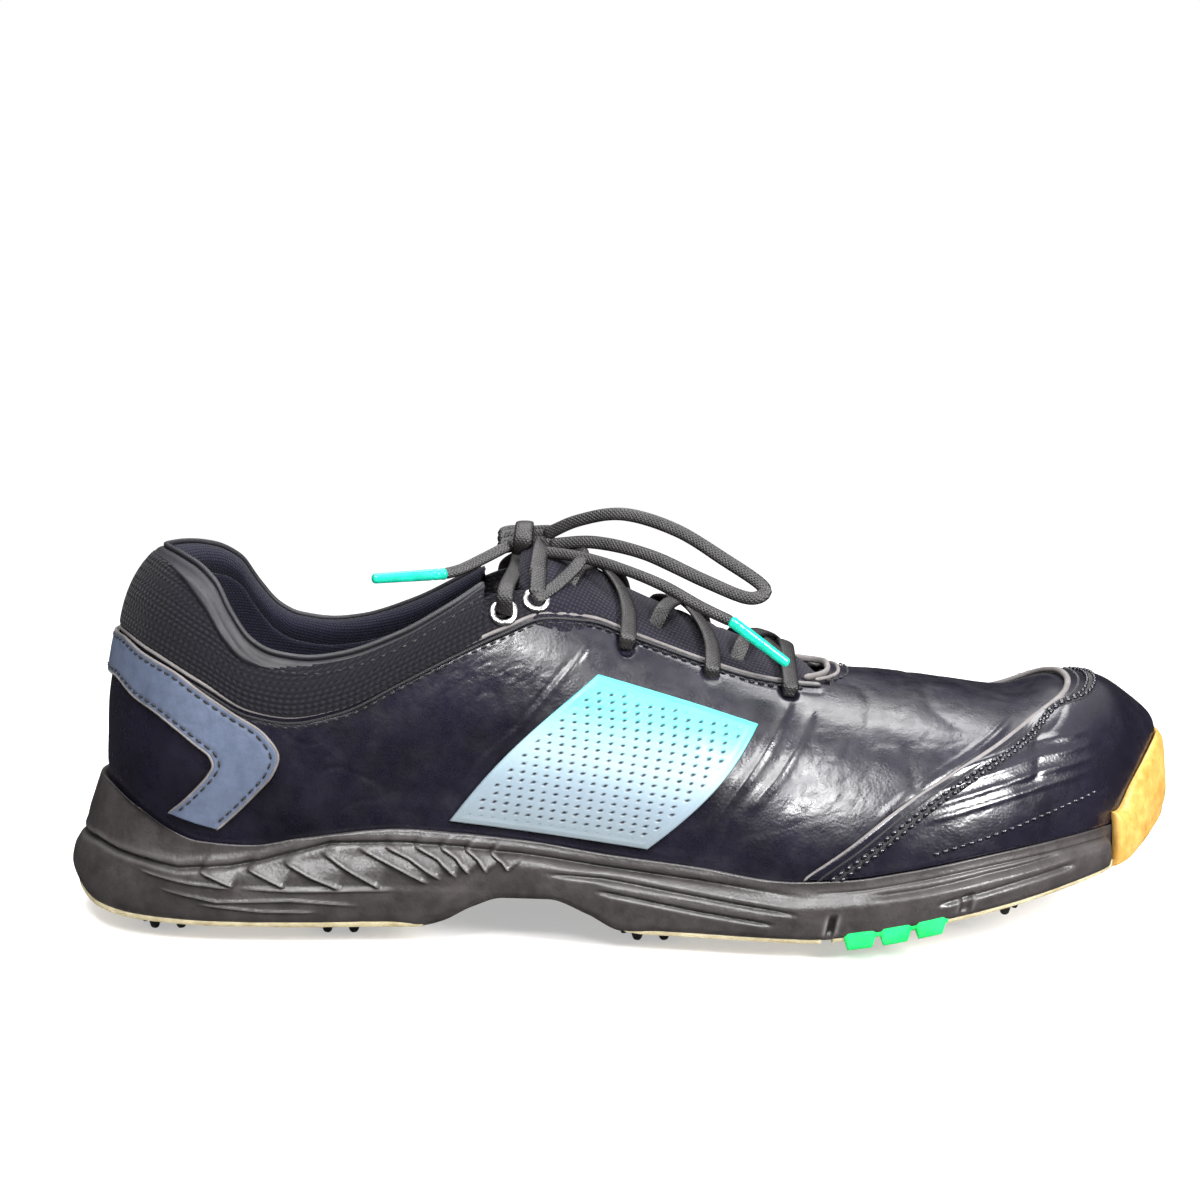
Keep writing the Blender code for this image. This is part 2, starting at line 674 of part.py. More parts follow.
def heel_overlay():
    """Angular band: around the back of the heel, forward on each side to a point, then down to the sole."""
    edges = []
    for line, back in ((CHEVRON_OUTER, CHEVRON_BACK[0]), (CHEVRON_INNER, CHEVRON_BACK[1])):
        halves = {}
        for side in (-1, 1):
            places = [locate(side, x, z) for x, z in line]
            halves[side] = [(side * u, t) for u, t in places]
        middle = [(w, height_at(w, back)) for w in (-0.05, -0.025, 0.0, 0.025, 0.05)]
        edges.append(np.array(halves[-1][::-1] + middle + halves[1]))
    knots = np.linspace(-1, 1, len(edges[0]))
    outer, inner = (smooth_function(list(zip(knots, edge))) for edge in edges)
    c = np.linspace(-1, 1, 49)
    v = np.linspace(0, 1, 3)[:, None, None]
    place_on_skin = inner(c) * (1 - v) + outer(c) * v
    w, t = place_on_skin[..., 0], place_on_skin[..., 1]
    low, high = SKIN_SPACE, SKIN_SPACE + OVERLAY
    return shell("heel_overlay", around(w, t, high), around(w, t, low), LOOKS["overlay"])


def side_panel(name, side):
    """Broad slanted saddle panel from the throat down to the sole."""
    c, v = np.linspace(0, 1, 9), np.linspace(0, 1, 9)
    u, t = np.zeros((9, 9)), np.zeros((9, 9))
    low_back, low_front, high_back, high_front = (np.array(p, float) for p in PANEL)
    for i, up in enumerate(v):
        for j, along in enumerate(c):
            low = low_back + (low_front - low_back) * along
            high = high_back + (high_front - high_back) * along
            x, z = low + (high - low) * up
            u[i, j], t[i, j] = locate(side, x + 3.0 * math.sin(math.pi * up) * (2 * along - 1), z)
    low, high = SKIN_SPACE, SKIN_SPACE + 0.7
    return shell(name, around(side * u, t, high), around(side * u, t, low), LOOKS["panel"])


def tongue():
    """Padded tongue under the throat, wider than the throat by a margin on each side."""
    u = np.linspace(station_of(124), station_of(203), 13)[:, None]
    edge = np.array([leather_edge(-k) for k in np.linspace(station_of(133), station_of(203), 13)])
    half = (1 - edge + 0.09)[:, None]
    a = np.linspace(-1, 1, 9) * half
    deep = LEATHER + LINING + 2 * SKIN_SPACE + 0.4
    return shell("tongue", over(u, a, -deep), over(u, a, -deep - TONGUE), LOOKS["tongue"], pivot=TONGUE_POINT)


# ---------------------------------------------------------------- laces


def hole_place(side, row):
    """An eyelet sits above the leather's edge, in the eyestay, and a punched hole below it."""
    u = float(station_of(LACE_ROWS[row]))
    edge = leather_edge(side * u)
    margin = EYESTAY_HEIGHT * EYELET_LIFT if row < METAL_ROWS else -HOLE_MARGIN
    return side * u, edge + margin / float(rib_scale(side * u, edge - 0.02))


def eyestay(name, side):
    """Strip that carries the eyelets, between the leather's edge and the mouth of the throat."""
    u = np.linspace(station_of(EYESTAY_X[0]), station_of(EYESTAY_X[1]), 8)
    edge = np.array([leather_edge(side * k) for k in u])
    scale = rib_scale(side * u, edge - 0.02)
    height = EYESTAY_HEIGHT * (1 - 0.75 * smoothstep(u, u[4], u[-1]))
    v = np.linspace(0, 1, 4)[:, None]
    t = edge + (1.5 * SEAM + (height - 1.5 * SEAM) * v) / scale
    return shell(name, around(side * u, t, 0), around(side * u, t, -LEATHER), LOOKS["knit"])


def punch_holes(sheets, rows):
    """Lace holes through the sheet on each side."""
    for side, obj in sheets.items():
        for row in rows:
            w, t = hole_place(side, row)
            low, high = around(w, t, -4.2), around(w, t, 3.0)
            tool = cylinder("punch", low, high, HOLE_RADIUS, sides=8, group=CUTTERS)
            boolean(obj, hide_tool(tool), "DIFFERENCE")
        bake(obj)


def lace_run(start, end):
    """One stretch of lace over the tongue, between a hole on one side and a hole on the other."""
    (w0, t0), (w1, t1) = hole_place(*start), hole_place(*end)
    a0, a1 = math.copysign(1 - t0, w0), math.copysign(1 - t1, w1)
    throat = 1 - max(t0, t1) - 0.09
    points = []
    for k in np.linspace(0, 1, 7):
        a = a0 + (a1 - a0) * k
        sag = max(0.0, 1 - (a / throat) ** 2)
        points.append(tuple(over(abs(w0) + (abs(w1) - abs(w0)) * k, a, LACE_RISE - 3.4 * sag)))
    return points


def lace_body():
    """Both halves of the lace crossing over the tongue, the front bar and the knot, as one cord."""
    last = len(LACE_ROWS) - 1
    bm = bmesh.new()
    bmesh.ops.create_uvsphere(bm, u_segments=10, v_segments=7, radius=1)
    bmesh.ops.scale(bm, verts=bm.verts, vec=KNOT_SIZE)
    bmesh.ops.translate(bm, verts=bm.verts, vec=KNOT)
    knot = finish_mesh("lace_body", bm, LOOKS["lace"], pivot=KNOT)
    runs = [lace_run((-1, last), (1, last))]
    for row in range(last, 0, -1):
        runs += [lace_run((side, row), (-side, row - 1)) for side in (-1, 1)]
    for side in (-1, 1):
        w, t = hole_place(side, 0)
        climb = [tuple(around(w, t + step, LACE_RISE)) for step in (0.0, 0.05, 0.1)]
        runs.append([*climb, (KNOT[0], KNOT[1] + side, KNOT[2])])
    for path in runs:
        boolean(knot, hide_tool(tube("cord", path, CORD, LOOKS["lace"], group=CUTTERS)), "UNION")
    for side in (-1, 1):
        for row in range(last + 1):
            w, t = hole_place(side, row)
            low, high = around(w, t, -1.4), around(w, t, LACE_RISE + CORD)
            stub = cylinder("stub", high, low, CORD + 0.2, sides=6, group=CUTTERS)
            boolean(knot, hide_tool(stub), "UNION")
    return bake(knot)


LOOP = [(130.5, -4.5, 105.5), (138, -7, 109.3), (150, -10, 111), (164, -14, 107), (177, -20, 99.5),
        (186, -24, 93.6), (187, -25.6, 91.4), (182, -26, 91.6), (171, -22.5, 95), (156, -16, 100),
        (142, -10, 103.2), (132.5, -6.8, 102.4)]  # fmt: skip
END_RIGHT = [(131, -9.0, 100.2), (138, -12, 99.4), (149, -17, 97.2), (160, -21.5, 93.4), (170, -24.5, 88),
             (177.2, -25, 85)]  # fmt: skip
AGLET_RIGHT = ((178.2, -25, 84.2), (193.2, -25, 72.8))
END_LEFT = [(115.4, -5.5, 100.6), (110, -10.5, 97.2), (103.4, -14.8, 95.4)]
AGLET_LEFT = ((102.6, -15.3, 95.2), (83.4, -20.5, 94.8))


def laces():
    lace_body()
    tube("lace_loop", smooth_path(LOOP, 3), CORD, LOOKS["lace"], pivot=KNOT)
    tube("lace_end_right", smooth_path(END_RIGHT, 3), CORD, LOOKS["lace"], pivot=KNOT)
    tube("lace_end_left", smooth_path(END_LEFT, 3), CORD, LOOKS["lace"], pivot=KNOT)
    cylinder("aglet_right", *AGLET_RIGHT, AGLET_RADIUS, look=LOOKS["aglet"], pivot=KNOT)
    cylinder("aglet_left", *AGLET_LEFT, AGLET_RADIUS, look=LOOKS["aglet"], pivot=KNOT)


def eyelets():
    """Metal rings on the eyestay, around its holes."""
    turn = np.linspace(0, 2 * math.pi, 6)[:-1]
    wire = [(EYELET_RADIUS + EYELET_WIRE * math.cos(k), EYELET_WIRE * math.sin(k)) for k in turn]
    for side, word in ((-1, "lateral"), (1, "medial")):
        for row in range(METAL_ROWS):
            w, t = hole_place(side, row)
            base = Vector(around(w, t, 0.0))
            centre = Vector(around(w, t, EYELET_WIRE + 0.3))
            ring = turned(f"eyelet_{word}_{'upper' if row == 0 else 'lower'}", wire, LOOKS["metal"])
            ring.rotation_euler = (centre - base).to_track_quat("Z", "Y").to_euler()
            ring.location = (centre - Vector(ORIGIN)) * MM


# ---------------------------------------------------------------- the sole


def row3(side, inset, start, end, f, height):
    """One row of a sole piece: the plan line with a height for each x."""
    plan = plan_row(side, inset, start, end, f)
    return np.column_stack([plan, height(plan[:, 0])])


def cross_rows(first, last, count, height):
    """Rows between two rows on opposite sides, at their own height."""
    found = []
    for k in np.linspace(0, 1, count + 2)[1:-1]:
        row = first + (last - first) * k
        row[:, 2] = height(row[:, 0])
        found.append(row)
    return found


def ring_of_rows(levels, start, end, f, under, over_top, across=3):
    """A sole section: each side's rows from the bottom up, joined across the top and the bottom."""
    sides = {s: [row3(s, inset, start, end, f, height) for inset, height in levels] for s in (-1, 1)}
    top = cross_rows(sides[-1][-1], sides[1][-1], across, over_top)
    bottom = cross_rows(sides[1][0], sides[-1][0], across, under)
    return sides[-1] + top + sides[1][::-1] + bottom


def plate_share(x):
    """1 where an outsole plate lies under the foam, 0 at the arch."""
    return 1 - smoothstep(x, ARCH_START_X, ARCH_START_X + 5) + smoothstep(x, ARCH_END_X - 5, ARCH_END_X)


def foam_bottom(x):
    return sole_bottom(x) + (PLATE + PLATE_SPACE) * plate_share(x)


def toe_step(inset):
    """The toe of the sole steps in to make room for the bumper."""

    def value(x):
        plain = inset(x) if callable(inset) else inset
        return plain + (BUMPER_STEP - plain) * smoothstep(x, BUMPER_X - 3.0, BUMPER_X - 0.4)

    return value


def midsole(name, start, end, stations, pivot=(0, 0, 0)):
    """Foam sole: a flared wall, a rim that holds the upper, and a sunken bed for the foot."""

    def wall(share):
        return lambda x: foam_bottom(x) + share * (rim_top(x) - foam_bottom(x))

    def bed(x):
        return footbed(x) - SKIN_SPACE

    def rim_inside(x):
        return rim_inset(x) + RIM

    levels = [
        (toe_step(2.2), foam_bottom),
        (toe_step(0.0), wall(0.36)),
        (toe_step(0.7), wall(0.7)),
        (toe_step(rim_inset), rim_top),
        (rim_inside, rim_top),
        (rim_inside, bed),
    ]
    rows = ring_of_rows(levels, start, end, stations, foam_bottom, bed, across=4)
    return loft(name, rows, LOOKS["foam_sole"], pivot=pivot)


def sheet_levels(inset, low, high):
    return [(inset, low), (inset, high)]


def flat_sheet(name, inset, low, high, look, stations):
    """An insole layer over the whole foot."""
    rows = ring_of_rows(sheet_levels(inset, low, high), None, None, stations, low, high)
    return loft(name, rows, look, pivot=FLEX_POINT)


def outsole(name, start, end, stations, pivot=(0, 0, 0)):
    levels = [
        (toe_step(4.6), sole_bottom),
        (toe_step(2.6), lambda x: sole_bottom(x) + 0.9),
        (toe_step(2.6), lambda x: sole_bottom(x) + PLATE),
    ]
    rows = ring_of_rows(levels, start, end, stations, sole_bottom, lambda x: sole_bottom(x) + PLATE, across=2)
    return loft(name, rows, LOOKS["outsole"], pivot=pivot)


def shank_rows(grow):
    x = np.linspace(SHANK_X[0] - grow, SHANK_X[1] + grow, 8)
    half = SHANK_HALF_WIDTH + grow
    high = footbed(x) - SKIN_SPACE - 0.25 + 4 * grow
    low = footbed(x) - SKIN_SPACE - 1.5 - grow
    corners = ((-half, low), (-half, high), (half, high), (half, low))
    return [np.column_stack([x, np.full(8, y + SHANK_Y), z]) for y, z in corners]


def edge_y(side, inset, x):
    """The y of the outline moved inwards, at x."""
    _, path = plan_path(side, inset)
    return np.interp(x, path[:, 0], path[:, 1])


def lug_pod(name, side):
    """Edge lugs moulded as one pod beside the groove."""
    x, fall = [], []
    pitch = (LUG_END_X - LUG_START_X) / LUGS
    for k in range(LUGS):
        base = LUG_START_X + k * pitch
        x += [base + 0.3, base + 1.0, base + pitch - 2.0, base + pitch - 1.2]
        fall += [0.4, -LUG_DEPTH, -LUG_DEPTH, 0.4]
    x, fall = np.array(x), np.array(fall)
    outer_y, inner_y = edge_y(side, 0.6, x), edge_y(side, POD_WIDTH, x)
    low, high = sole_bottom(x) + fall, foam_bottom(x) - 0.35
    rows = [
        np.column_stack([x, inner_y, low]),
        np.column_stack([x, outer_y - side * 1.2, low]),
        np.column_stack([x, outer_y, low + 1.2]),
        np.column_stack([x, outer_y, high]),
        np.column_stack([x, inner_y, high]),
    ]
    return loft(name, rows, LOOKS["green"], pivot=FLEX_POINT)


def pod_cutter(side):
    """Room for a lug pod in the outsole plate: a block from the pod's inner line outwards."""
    inner = edge_y(side, POD_WIDTH + SEAM, [LUG_START_X, LUG_END_X])
    near = float(min(abs(inner)))
    size = (LUG_END_X - LUG_START_X + 0.8, 30, 30)
    middle = ((LUG_START_X + LUG_END_X) / 2, side * (near + size[1] / 2), 8)
    bm = bmesh.new()
    bmesh.ops.create_cube(bm, size=1)
    bmesh.ops.scale(bm, verts=bm.verts, vec=size)
    bmesh.ops.translate(bm, verts=bm.verts, vec=middle)
    return hide_tool(finish_mesh("pod_room", bm, LOOKS["green"], group=CUTTERS))


def bore_for_cleats(plate, names):
    for name in names:
        x, y = CLEATS[name]
        z = float(sole_bottom(x))
        low, high = (x, y, z - 6), (x, y, z + 9)
        tool = cylinder("bore", low, high, SOCKET_RADIUS + 0.35, group=CUTTERS)
        boolean(plate, hide_tool(tool), "DIFFERENCE")


def turned(name, profile, look, sides=12):
    """A turned piece: a closed outline of (radius, height) around the Z axis, without its place."""
    bm = bmesh.new()
    verts = [bm.verts.new((r, 0, z)) for r, z in profile]
    for first, second in zip(verts, verts[1:] + verts[:1]):
        bm.edges.new((first, second))
    profile_line = bm.verts[:] + bm.edges[:]
    bmesh.ops.spin(bm, geom=profile_line, axis=(0, 0, 1), cent=(0, 0, 0), steps=sides, angle=2 * math.pi)
    return finish_mesh(name, bm, look)


def cone(name, low_radius, high_radius, height, sides, where):
    """A straight cone or disc, with its middle at the place that the matrix gives."""
    bm = bmesh.new()
    bmesh.ops.create_cone(
        bm, cap_ends=True, segments=sides, radius1=low_radius, radius2=high_radius, depth=height, matrix=where
    )
    return finish_mesh(name, bm, LOOKS["cleat"])


def cleat_mesh():
    """Soft cleat: a disc with a stud on top and legs around its edge."""
    leg_height = CLEAT_HEIGHT - 0.7
    disc = cone("cleat", 7.8, CLEAT_RADIUS, 1.5, 12, Matrix.Translation((0, 0, CLEAT_HEIGHT - 0.95)))
    stud = cone("stud", 4.0, 4.0, 3.0, 8, Matrix.Translation((0, 0, CLEAT_HEIGHT + 0.5)))
    boolean(disc, hide_tool(stud), "UNION")
    for k in range(CLEAT_LEGS):
        turn = Matrix.Rotation(k * 2 * math.pi / CLEAT_LEGS, 4, "Z")
        leg = cone("leg", 1.0, 2.2, leg_height, 4, turn @ Matrix.Translation((LEG_CIRCLE, 0, leg_height / 2)))
        boolean(disc, hide_tool(leg), "UNION")
    mesh = bake(disc).data
    bpy.data.objects.remove(disc)
    return mesh


def lowest(x, reach):
    """The sole's lowest height within reach of x."""
    return float(min(sole_bottom(x - reach), sole_bottom(x)))


def cleats():
    """Each cleat hangs in its own threaded socket in an outsole plate."""
    shape = cleat_mesh()
    bore, low, high = 4.5, 0.35, PLATE - 0.2
    ring = [(bore, low), (SOCKET_RADIUS, low), (SOCKET_RADIUS, high), (bore, high)]
    socket = turned("socket", ring, LOOKS["cleat"])
    socket_shape = socket.data
    bpy.data.objects.remove(socket)
    for name, (x, y) in CLEATS.items():
        place("cleat_" + name, shape, (x, y, lowest(x, CLEAT_RADIUS + 0.4) - CLEAT_HEIGHT - 0.1))
        place("socket_" + name, socket_shape, (x, y, lowest(x, SOCKET_RADIUS)))


def bumper_column(side, u):
    """The bumper's outer and inner points at one place along the outline, from the bottom up."""
    spots = {}
    for inset in (-0.6, 0.2, 2.2):
        table, path = plan_path(side, inset)
        spots[inset] = np.array([np.interp(u, table, path[:, k]) for k in (0, 1)])
    x = float(spots[-0.6][0])
    low, rim = float(sole_bottom(x)) + 0.8, float(rim_top(x))
    belly = low + 0.45 * (rim - low)
    outer = [(*spots[0.2], low), (*spots[-0.6], belly), (*spots[0.2], rim)]
    inner = [(*spots[2.2], low), (*spots[2.2], belly), (*spots[2.2], rim + 0.3)]
    w = side * u
    t_low = height_at(w, rim + 2.0)
    t_high = max(crossing(w, bumper_top), t_low + 0.02)
    for k in (0.0, 0.33, 0.66, 1.0):
        t = t_low + (t_high - t_low) * k
        outer.append(tuple(around(w, t, 4.2 - 0.8 * k)))
        inner.append(tuple(around(w, t, 2.3)))
    return outer, inner


def toe_bumper():
    """Rubber toe guard: up the wall of the sole and over the front of the toe."""
    count, tip = 12, 0.9995
    columns = []
    for side in (-1, 1):
        table, path = plan_path(side, 0.0)
        start = float(np.interp(BUMPER_X, path[:, 0], table))
        half = [bumper_column(side, min(u, tip)) for u in np.linspace(start, 1, count)]
        columns += half if side < 0 else half[-2::-1]
    outer, inner = zip(*columns)
    return shell("toe_bumper", outer, inner, LOOKS["amber"], pivot=FLEX_POINT)


def build_sole():
    groove = (FLEX_X - FLEX_HALF_WIDTH, FLEX_X + FLEX_HALF_WIDTH)
    rear = midsole("midsole_rear", None, groove[0], np.linspace(0, 1, 27))
    midsole("midsole_forefoot", groove[1], None, np.linspace(0, 1, 17), pivot=FLEX_POINT)
    pocket = hide_tool(loft("shank_room", shank_rows(0.35), LOOKS["board"], group=CUTTERS))
    boolean(rear, pocket, "DIFFERENCE")
    bake(rear)
    loft("shank", shank_rows(0.0), LOOKS["board"])
    even = np.linspace(0, 1, 20)
    flat_sheet("strobel_board", lambda x: upper_inset(x) + BOARD_INSET, lambda x: footbed(x) - 0.1,
               lambda x: footbed(x) + BOARD - 0.1, LOOKS["board"], even)  # fmt: skip
    flat_sheet("sockliner", lambda x: upper_inset(x) + BOARD_INSET + 0.4, lambda x: footbed(x) + BOARD + 0.3,
               lambda x: footbed(x) + BOARD + 0.3 + SOCKLINER, LOOKS["sock"], even)  # fmt: skip
    heel = outsole("outsole_heel", None, ARCH_START_X, np.linspace(0, 1, 15))
    ball = outsole("outsole_ball", ARCH_END_X, FLEX_X - 1.5, np.linspace(0, 1, 8))
    toe = outsole("outsole_toe", FLEX_X + 1.5, None, np.linspace(0, 1, 15), pivot=FLEX_POINT)
    for plate, word in ((heel, "heel"), (ball, "ball"), (toe, "toe")):
        bore_for_cleats(plate, [name for name in CLEATS if name.startswith(word)])
    for side in (-1, 1):
        boolean(toe, pod_cutter(side), "DIFFERENCE")
    for plate in (heel, ball, toe):
        bake(plate)
    lug_pod("lug_pod_lateral", -1)
    lug_pod("lug_pod_medial", 1)
    toe_bumper()
    cleats()


def build_upper():
    leather = {-1: quarter("quarter_lateral", -1), 1: quarter("quarter_medial", 1)}
    punch_holes(leather, range(METAL_ROWS, len(LACE_ROWS)))
    punch_holes({-1: eyestay("eyestay_lateral", -1), 1: eyestay("eyestay_medial", 1)}, range(METAL_ROWS))
    quarter_lining()
    vamp()
    vamp_lining()
    toe_puff()
    toe_overlay()
    heel_counter()
    heel_overlay()
    side_panel("side_panel_lateral", -1)
    side_panel("side_panel_medial", 1)
    collar_outer()
    collar_foam()
    tongue()


def make_looks():
    LOOKS["leather"] = material("black_leather", (0.015, 0.014, 0.022), 0.32)
    LOOKS["overlay"] = material("blue_grey_overlay", (0.11, 0.13, 0.22), 0.55)
    LOOKS["panel"] = material("aqua_panel", (0.25, 0.55, 0.62), 0.4)
    LOOKS["knit"] = material("black_knit", (0.02, 0.018, 0.028), 0.9)
    LOOKS["foam"] = material("padding", (0.5, 0.48, 0.42), 0.95)
    LOOKS["lining"] = material("navy_lining", (0.012, 0.012, 0.045), 0.9)
    LOOKS["tongue"] = material("tongue_textile", (0.018, 0.016, 0.03), 0.85)
    LOOKS["board"] = material("stiff_board", (0.45, 0.42, 0.36), 0.8)
    LOOKS["sock"] = material("sockliner_foam", (0.02, 0.02, 0.035), 0.9)
    LOOKS["lace"] = material("brown_grey_cord", (0.035, 0.03, 0.03), 0.8)
    LOOKS["aglet"] = material("teal_aglet", (0.01, 0.36, 0.24), 0.35)
    LOOKS["metal"] = material("eyelet_metal", (0.7, 0.7, 0.72), 0.25, 1.0)
    LOOKS["foam_sole"] = material("dark_foam", (0.04, 0.036, 0.036), 0.7)
    LOOKS["outsole"] = material("cream_rubber", (0.6, 0.5, 0.28), 0.5)
    LOOKS["green"] = material("green_rubber", (0.02, 0.55, 0.14), 0.4)
    LOOKS["amber"] = material("amber_rubber", (0.62, 0.33, 0.07), 0.45)
    LOOKS["cleat"] = material("black_plastic", (0.01, 0.01, 0.01), 0.4)


LOOKS = {}
PARTS = None
CUTTERS = None
bumper_top = smooth_function(BUMPER_TOP)
FLEX_POINT = (FLEX_X, ORIGIN[1], float(rim_top(FLEX_X)))
TONGUE_POINT = (203.0, 4.0, 62.0)


def main():
    global PARTS, CUTTERS
    clear_scene()
    PARTS = collection("golf_shoe")
    CUTTERS = collection("cutters")
    make_looks()
    build_upper()
    build_sole()
    laces()
    eyelets()


main()
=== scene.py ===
"""Looks of a right-foot golf shoe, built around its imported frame.

Shapes are worked out in millimetres from the heel, as in the part: +X to the toe, -Y the outer
side, z = 0 the ground. put() takes them to the row frame in metres.
"""

import math

import bmesh
import bpy
import numpy as np
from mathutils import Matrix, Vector


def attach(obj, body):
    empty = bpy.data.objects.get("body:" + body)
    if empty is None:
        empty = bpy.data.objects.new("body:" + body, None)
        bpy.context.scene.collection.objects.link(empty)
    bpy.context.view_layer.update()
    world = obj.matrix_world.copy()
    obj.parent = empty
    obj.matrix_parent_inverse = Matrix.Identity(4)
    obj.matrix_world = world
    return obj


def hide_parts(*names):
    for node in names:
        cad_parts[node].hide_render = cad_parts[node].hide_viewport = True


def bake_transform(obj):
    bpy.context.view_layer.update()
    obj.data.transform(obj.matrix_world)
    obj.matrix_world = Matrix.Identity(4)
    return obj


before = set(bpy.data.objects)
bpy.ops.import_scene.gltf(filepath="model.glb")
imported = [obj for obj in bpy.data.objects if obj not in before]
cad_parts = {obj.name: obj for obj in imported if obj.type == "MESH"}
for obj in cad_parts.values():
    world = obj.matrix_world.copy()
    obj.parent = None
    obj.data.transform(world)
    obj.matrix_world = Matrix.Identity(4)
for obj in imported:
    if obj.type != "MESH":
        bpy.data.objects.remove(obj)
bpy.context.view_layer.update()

MM = 0.001
ORIGIN = np.array((149.9, -2.3, 0.0))  # the row frame's origin

# Thicknesses of the upper's layers, and the room left for what lies between them.
LEATHER = 1.3
SKIN_SPACE = 0.6
LINING = 1.0
PADDING = 5.2
COUNTER_ROOM = 1.8
PUFF_ROOM = 1.65

# The foam's rim and flare, and the rubber plates under it.
RIM = 1.7
PLATE = 2.6
PLATE_SPACE = 0.4
PLATE_INSET = 2.6
SIDE_FLARE = 2.6
HEEL_FLARE = 8.2
HEEL_FLARE_END_X = 38.0
FLEX_X = 202.0
ARCH_START_X = 97.0
ARCH_END_X = 150.0
LUG_START_X = 206.0
LUG_END_X = 233.5
LUG_DROP = 2.6
BUMPER_X = 283.0
BUMPER_STEP = 2.9
BUMPER_COLUMNS = 190
BUMPER_ROWS = 56

# Places on the upper. Its stations run from 0 at the heel to 1 at the toe.
THROAT_X = 206.0
SEAM_FOOT_X = 168.0
TOE_END = 0.9965
STATION_LENGTH = 190.0
JUST_UNDER = 0.02
NORMAL_STEP = 2e-3

CLEAT_HEIGHT = 4.4
BORE_RADIUS = 7.4
CLEATS = {
    "heel_lateral_rear": (27, -17),
    "heel_medial_rear": (27, 17),
    "heel_lateral_front": (74, -21),
    "heel_medial_front": (74, 17),
    "ball_lateral": (157, -28),
    "ball_medial": (164, 16),
    "ball_centre": (187, -9),
    "toe_lateral": (248, -24),
    "toe_medial": (247, 24),
    "toe_tip": (273, 8),
}
OUTLINE = [
    (-2.5, 0), (2.5, -17), (14, -30.5), (34, -39), (60, -41.5), (90, -41), (115, -42), (140, -45),
    (165, -50), (190, -55), (212, -57), (232, -54.5), (250, -48), (266, -38.5), (281, -26.5),
    (294, -12), (301.5, 4), (299, 20), (290, 32), (276, 42), (258, 49.5), (238, 52.5), (215, 50),
    (190, 44), (165, 36.5), (140, 32), (115, 31.5), (90, 34.5), (60, 38.5), (34, 37.5), (14, 29.5),
    (2.5, 16.5),
]  # fmt: skip
RIM_TOP = [(-3, 38.5), (8, 38.3), (21, 33.8), (30, 29.6), (38, 27.3), (52, 26.5), (65, 28.5), (91, 30.9),
           (104, 30.1), (123, 28.4), (144, 25.5), (169, 23.2), (192, 20.5), (208, 21.4), (221, 23.2),
           (248, 26.6), (265, 27.6), (303, 29)]  # fmt: skip
FOOTBED = [(-3, 24), (30, 21), (60, 19), (100, 20), (140, 17.5), (192, 13.4), (225, 15), (260, 19),
           (303, 22.5)]  # fmt: skip
SOLE_BOTTOM = [(-3, 9), (8, 5.2), (20, 4.5), (94, 4.5), (102, 6.5), (110, 10.5), (118, 13), (130, 13),
               (140, 9.5), (149, 5.2), (155, 4.5), (196, 4.5), (212, 6.2), (234, 9.6), (250, 11.8),
               (266, 14), (281, 16.1), (303, 20)]  # fmt: skip
LEATHER_TOP = [(5, 79), (14, 78.6), (24, 75.9), (38.5, 69.4), (52, 62.2), (62.7, 60.5), (75.8, 63.1),
               (91.5, 70.6), (104.5, 77), (117.5, 82.6), (129, 86.2), (140, 85), (154, 79.6), (170, 73.5),
               (186, 68.4), (198, 66), (206, 65)]  # fmt: skip
COLLAR_TOP = [(8, 101), (18, 102), (27, 101.6), (35, 99.6), (42, 94.8), (46.5, 87.3), (52, 80.2), (58, 77),
              (67.6, 75.7), (75.6, 76.6), (91.4, 82), (104.4, 89), (117.4, 96.4), (124, 98)]  # fmt: skip
RIBS = [
    (0, (52, 0, 113), 2.4), (20, (56, 0, 113), 2.4), (50, (67, 0, 112.5), 2.4), (80, (86, 0.5, 110.5), 2.4),
    (110, (112, 1, 104.5), 2.35), (133, (134, 1.5, 97), 2.3), (150, (151, 2, 89), 2.1),
    (170, (171, 3, 80.5), 1.95), (190, (190, 3.5, 72.5), 1.95), (206, (206, 4, 67.2), 2.1),
    (225, (225, 5, 64), 2.3), (243, (243, 5, 61.2), 2.5), (257, (257, 5, 59.6), 2.6),
    (270, (269, 5.5, 62.8), 2.6), (280, (280.5, 6, 62), 2.5), (288, (289.5, 6, 57), 2.4),
    (294, (296, 6, 50), 2.2), (300, (297.5, 5.5, 38), 2.0),
]  # fmt: skip
BUMPER_TOP = [(278, 29.5), (281, 31.5), (285.5, 38), (294, 46.6), (300, 50.5)]
TOE_SEAM = [(191, 18), (205, 27.5), (221, 39.1), (234.7, 46.2), (249, 52.1), (264.3, 58.4), (274, 64)]
CHEVRON_OUTER = [(22.4, 75.0), (32, 71.4), (39.8, 66.4), (47.6, 61.4), (55.8, 56.2), (59.6, 50.2), (58, 45.6),
                 (53.9, 40.9), (48, 35), (43, 30.5)]  # fmt: skip
CHEVRON_INNER = [(21, 63), (26.2, 60.8), (32.1, 57.2), (37.7, 53.1), (41.5, 50), (42.3, 47.6), (41, 45),
                 (38, 41.5), (34, 37.4), (30, 34)]  # fmt: skip
CHEVRON_BACK = (77.6, 67.0)

# The saddle panel's corners in side view, and its rows of pores, each a little closer than the pitch.
PANEL = ((104, 33), (156, 27), (143, 71), (185, 58))
PANEL_HEIGHT = 45
PANEL_WIDTH = 46
PORE_PITCH = 3.1
PORE_ROW = PORE_PITCH * 0.866

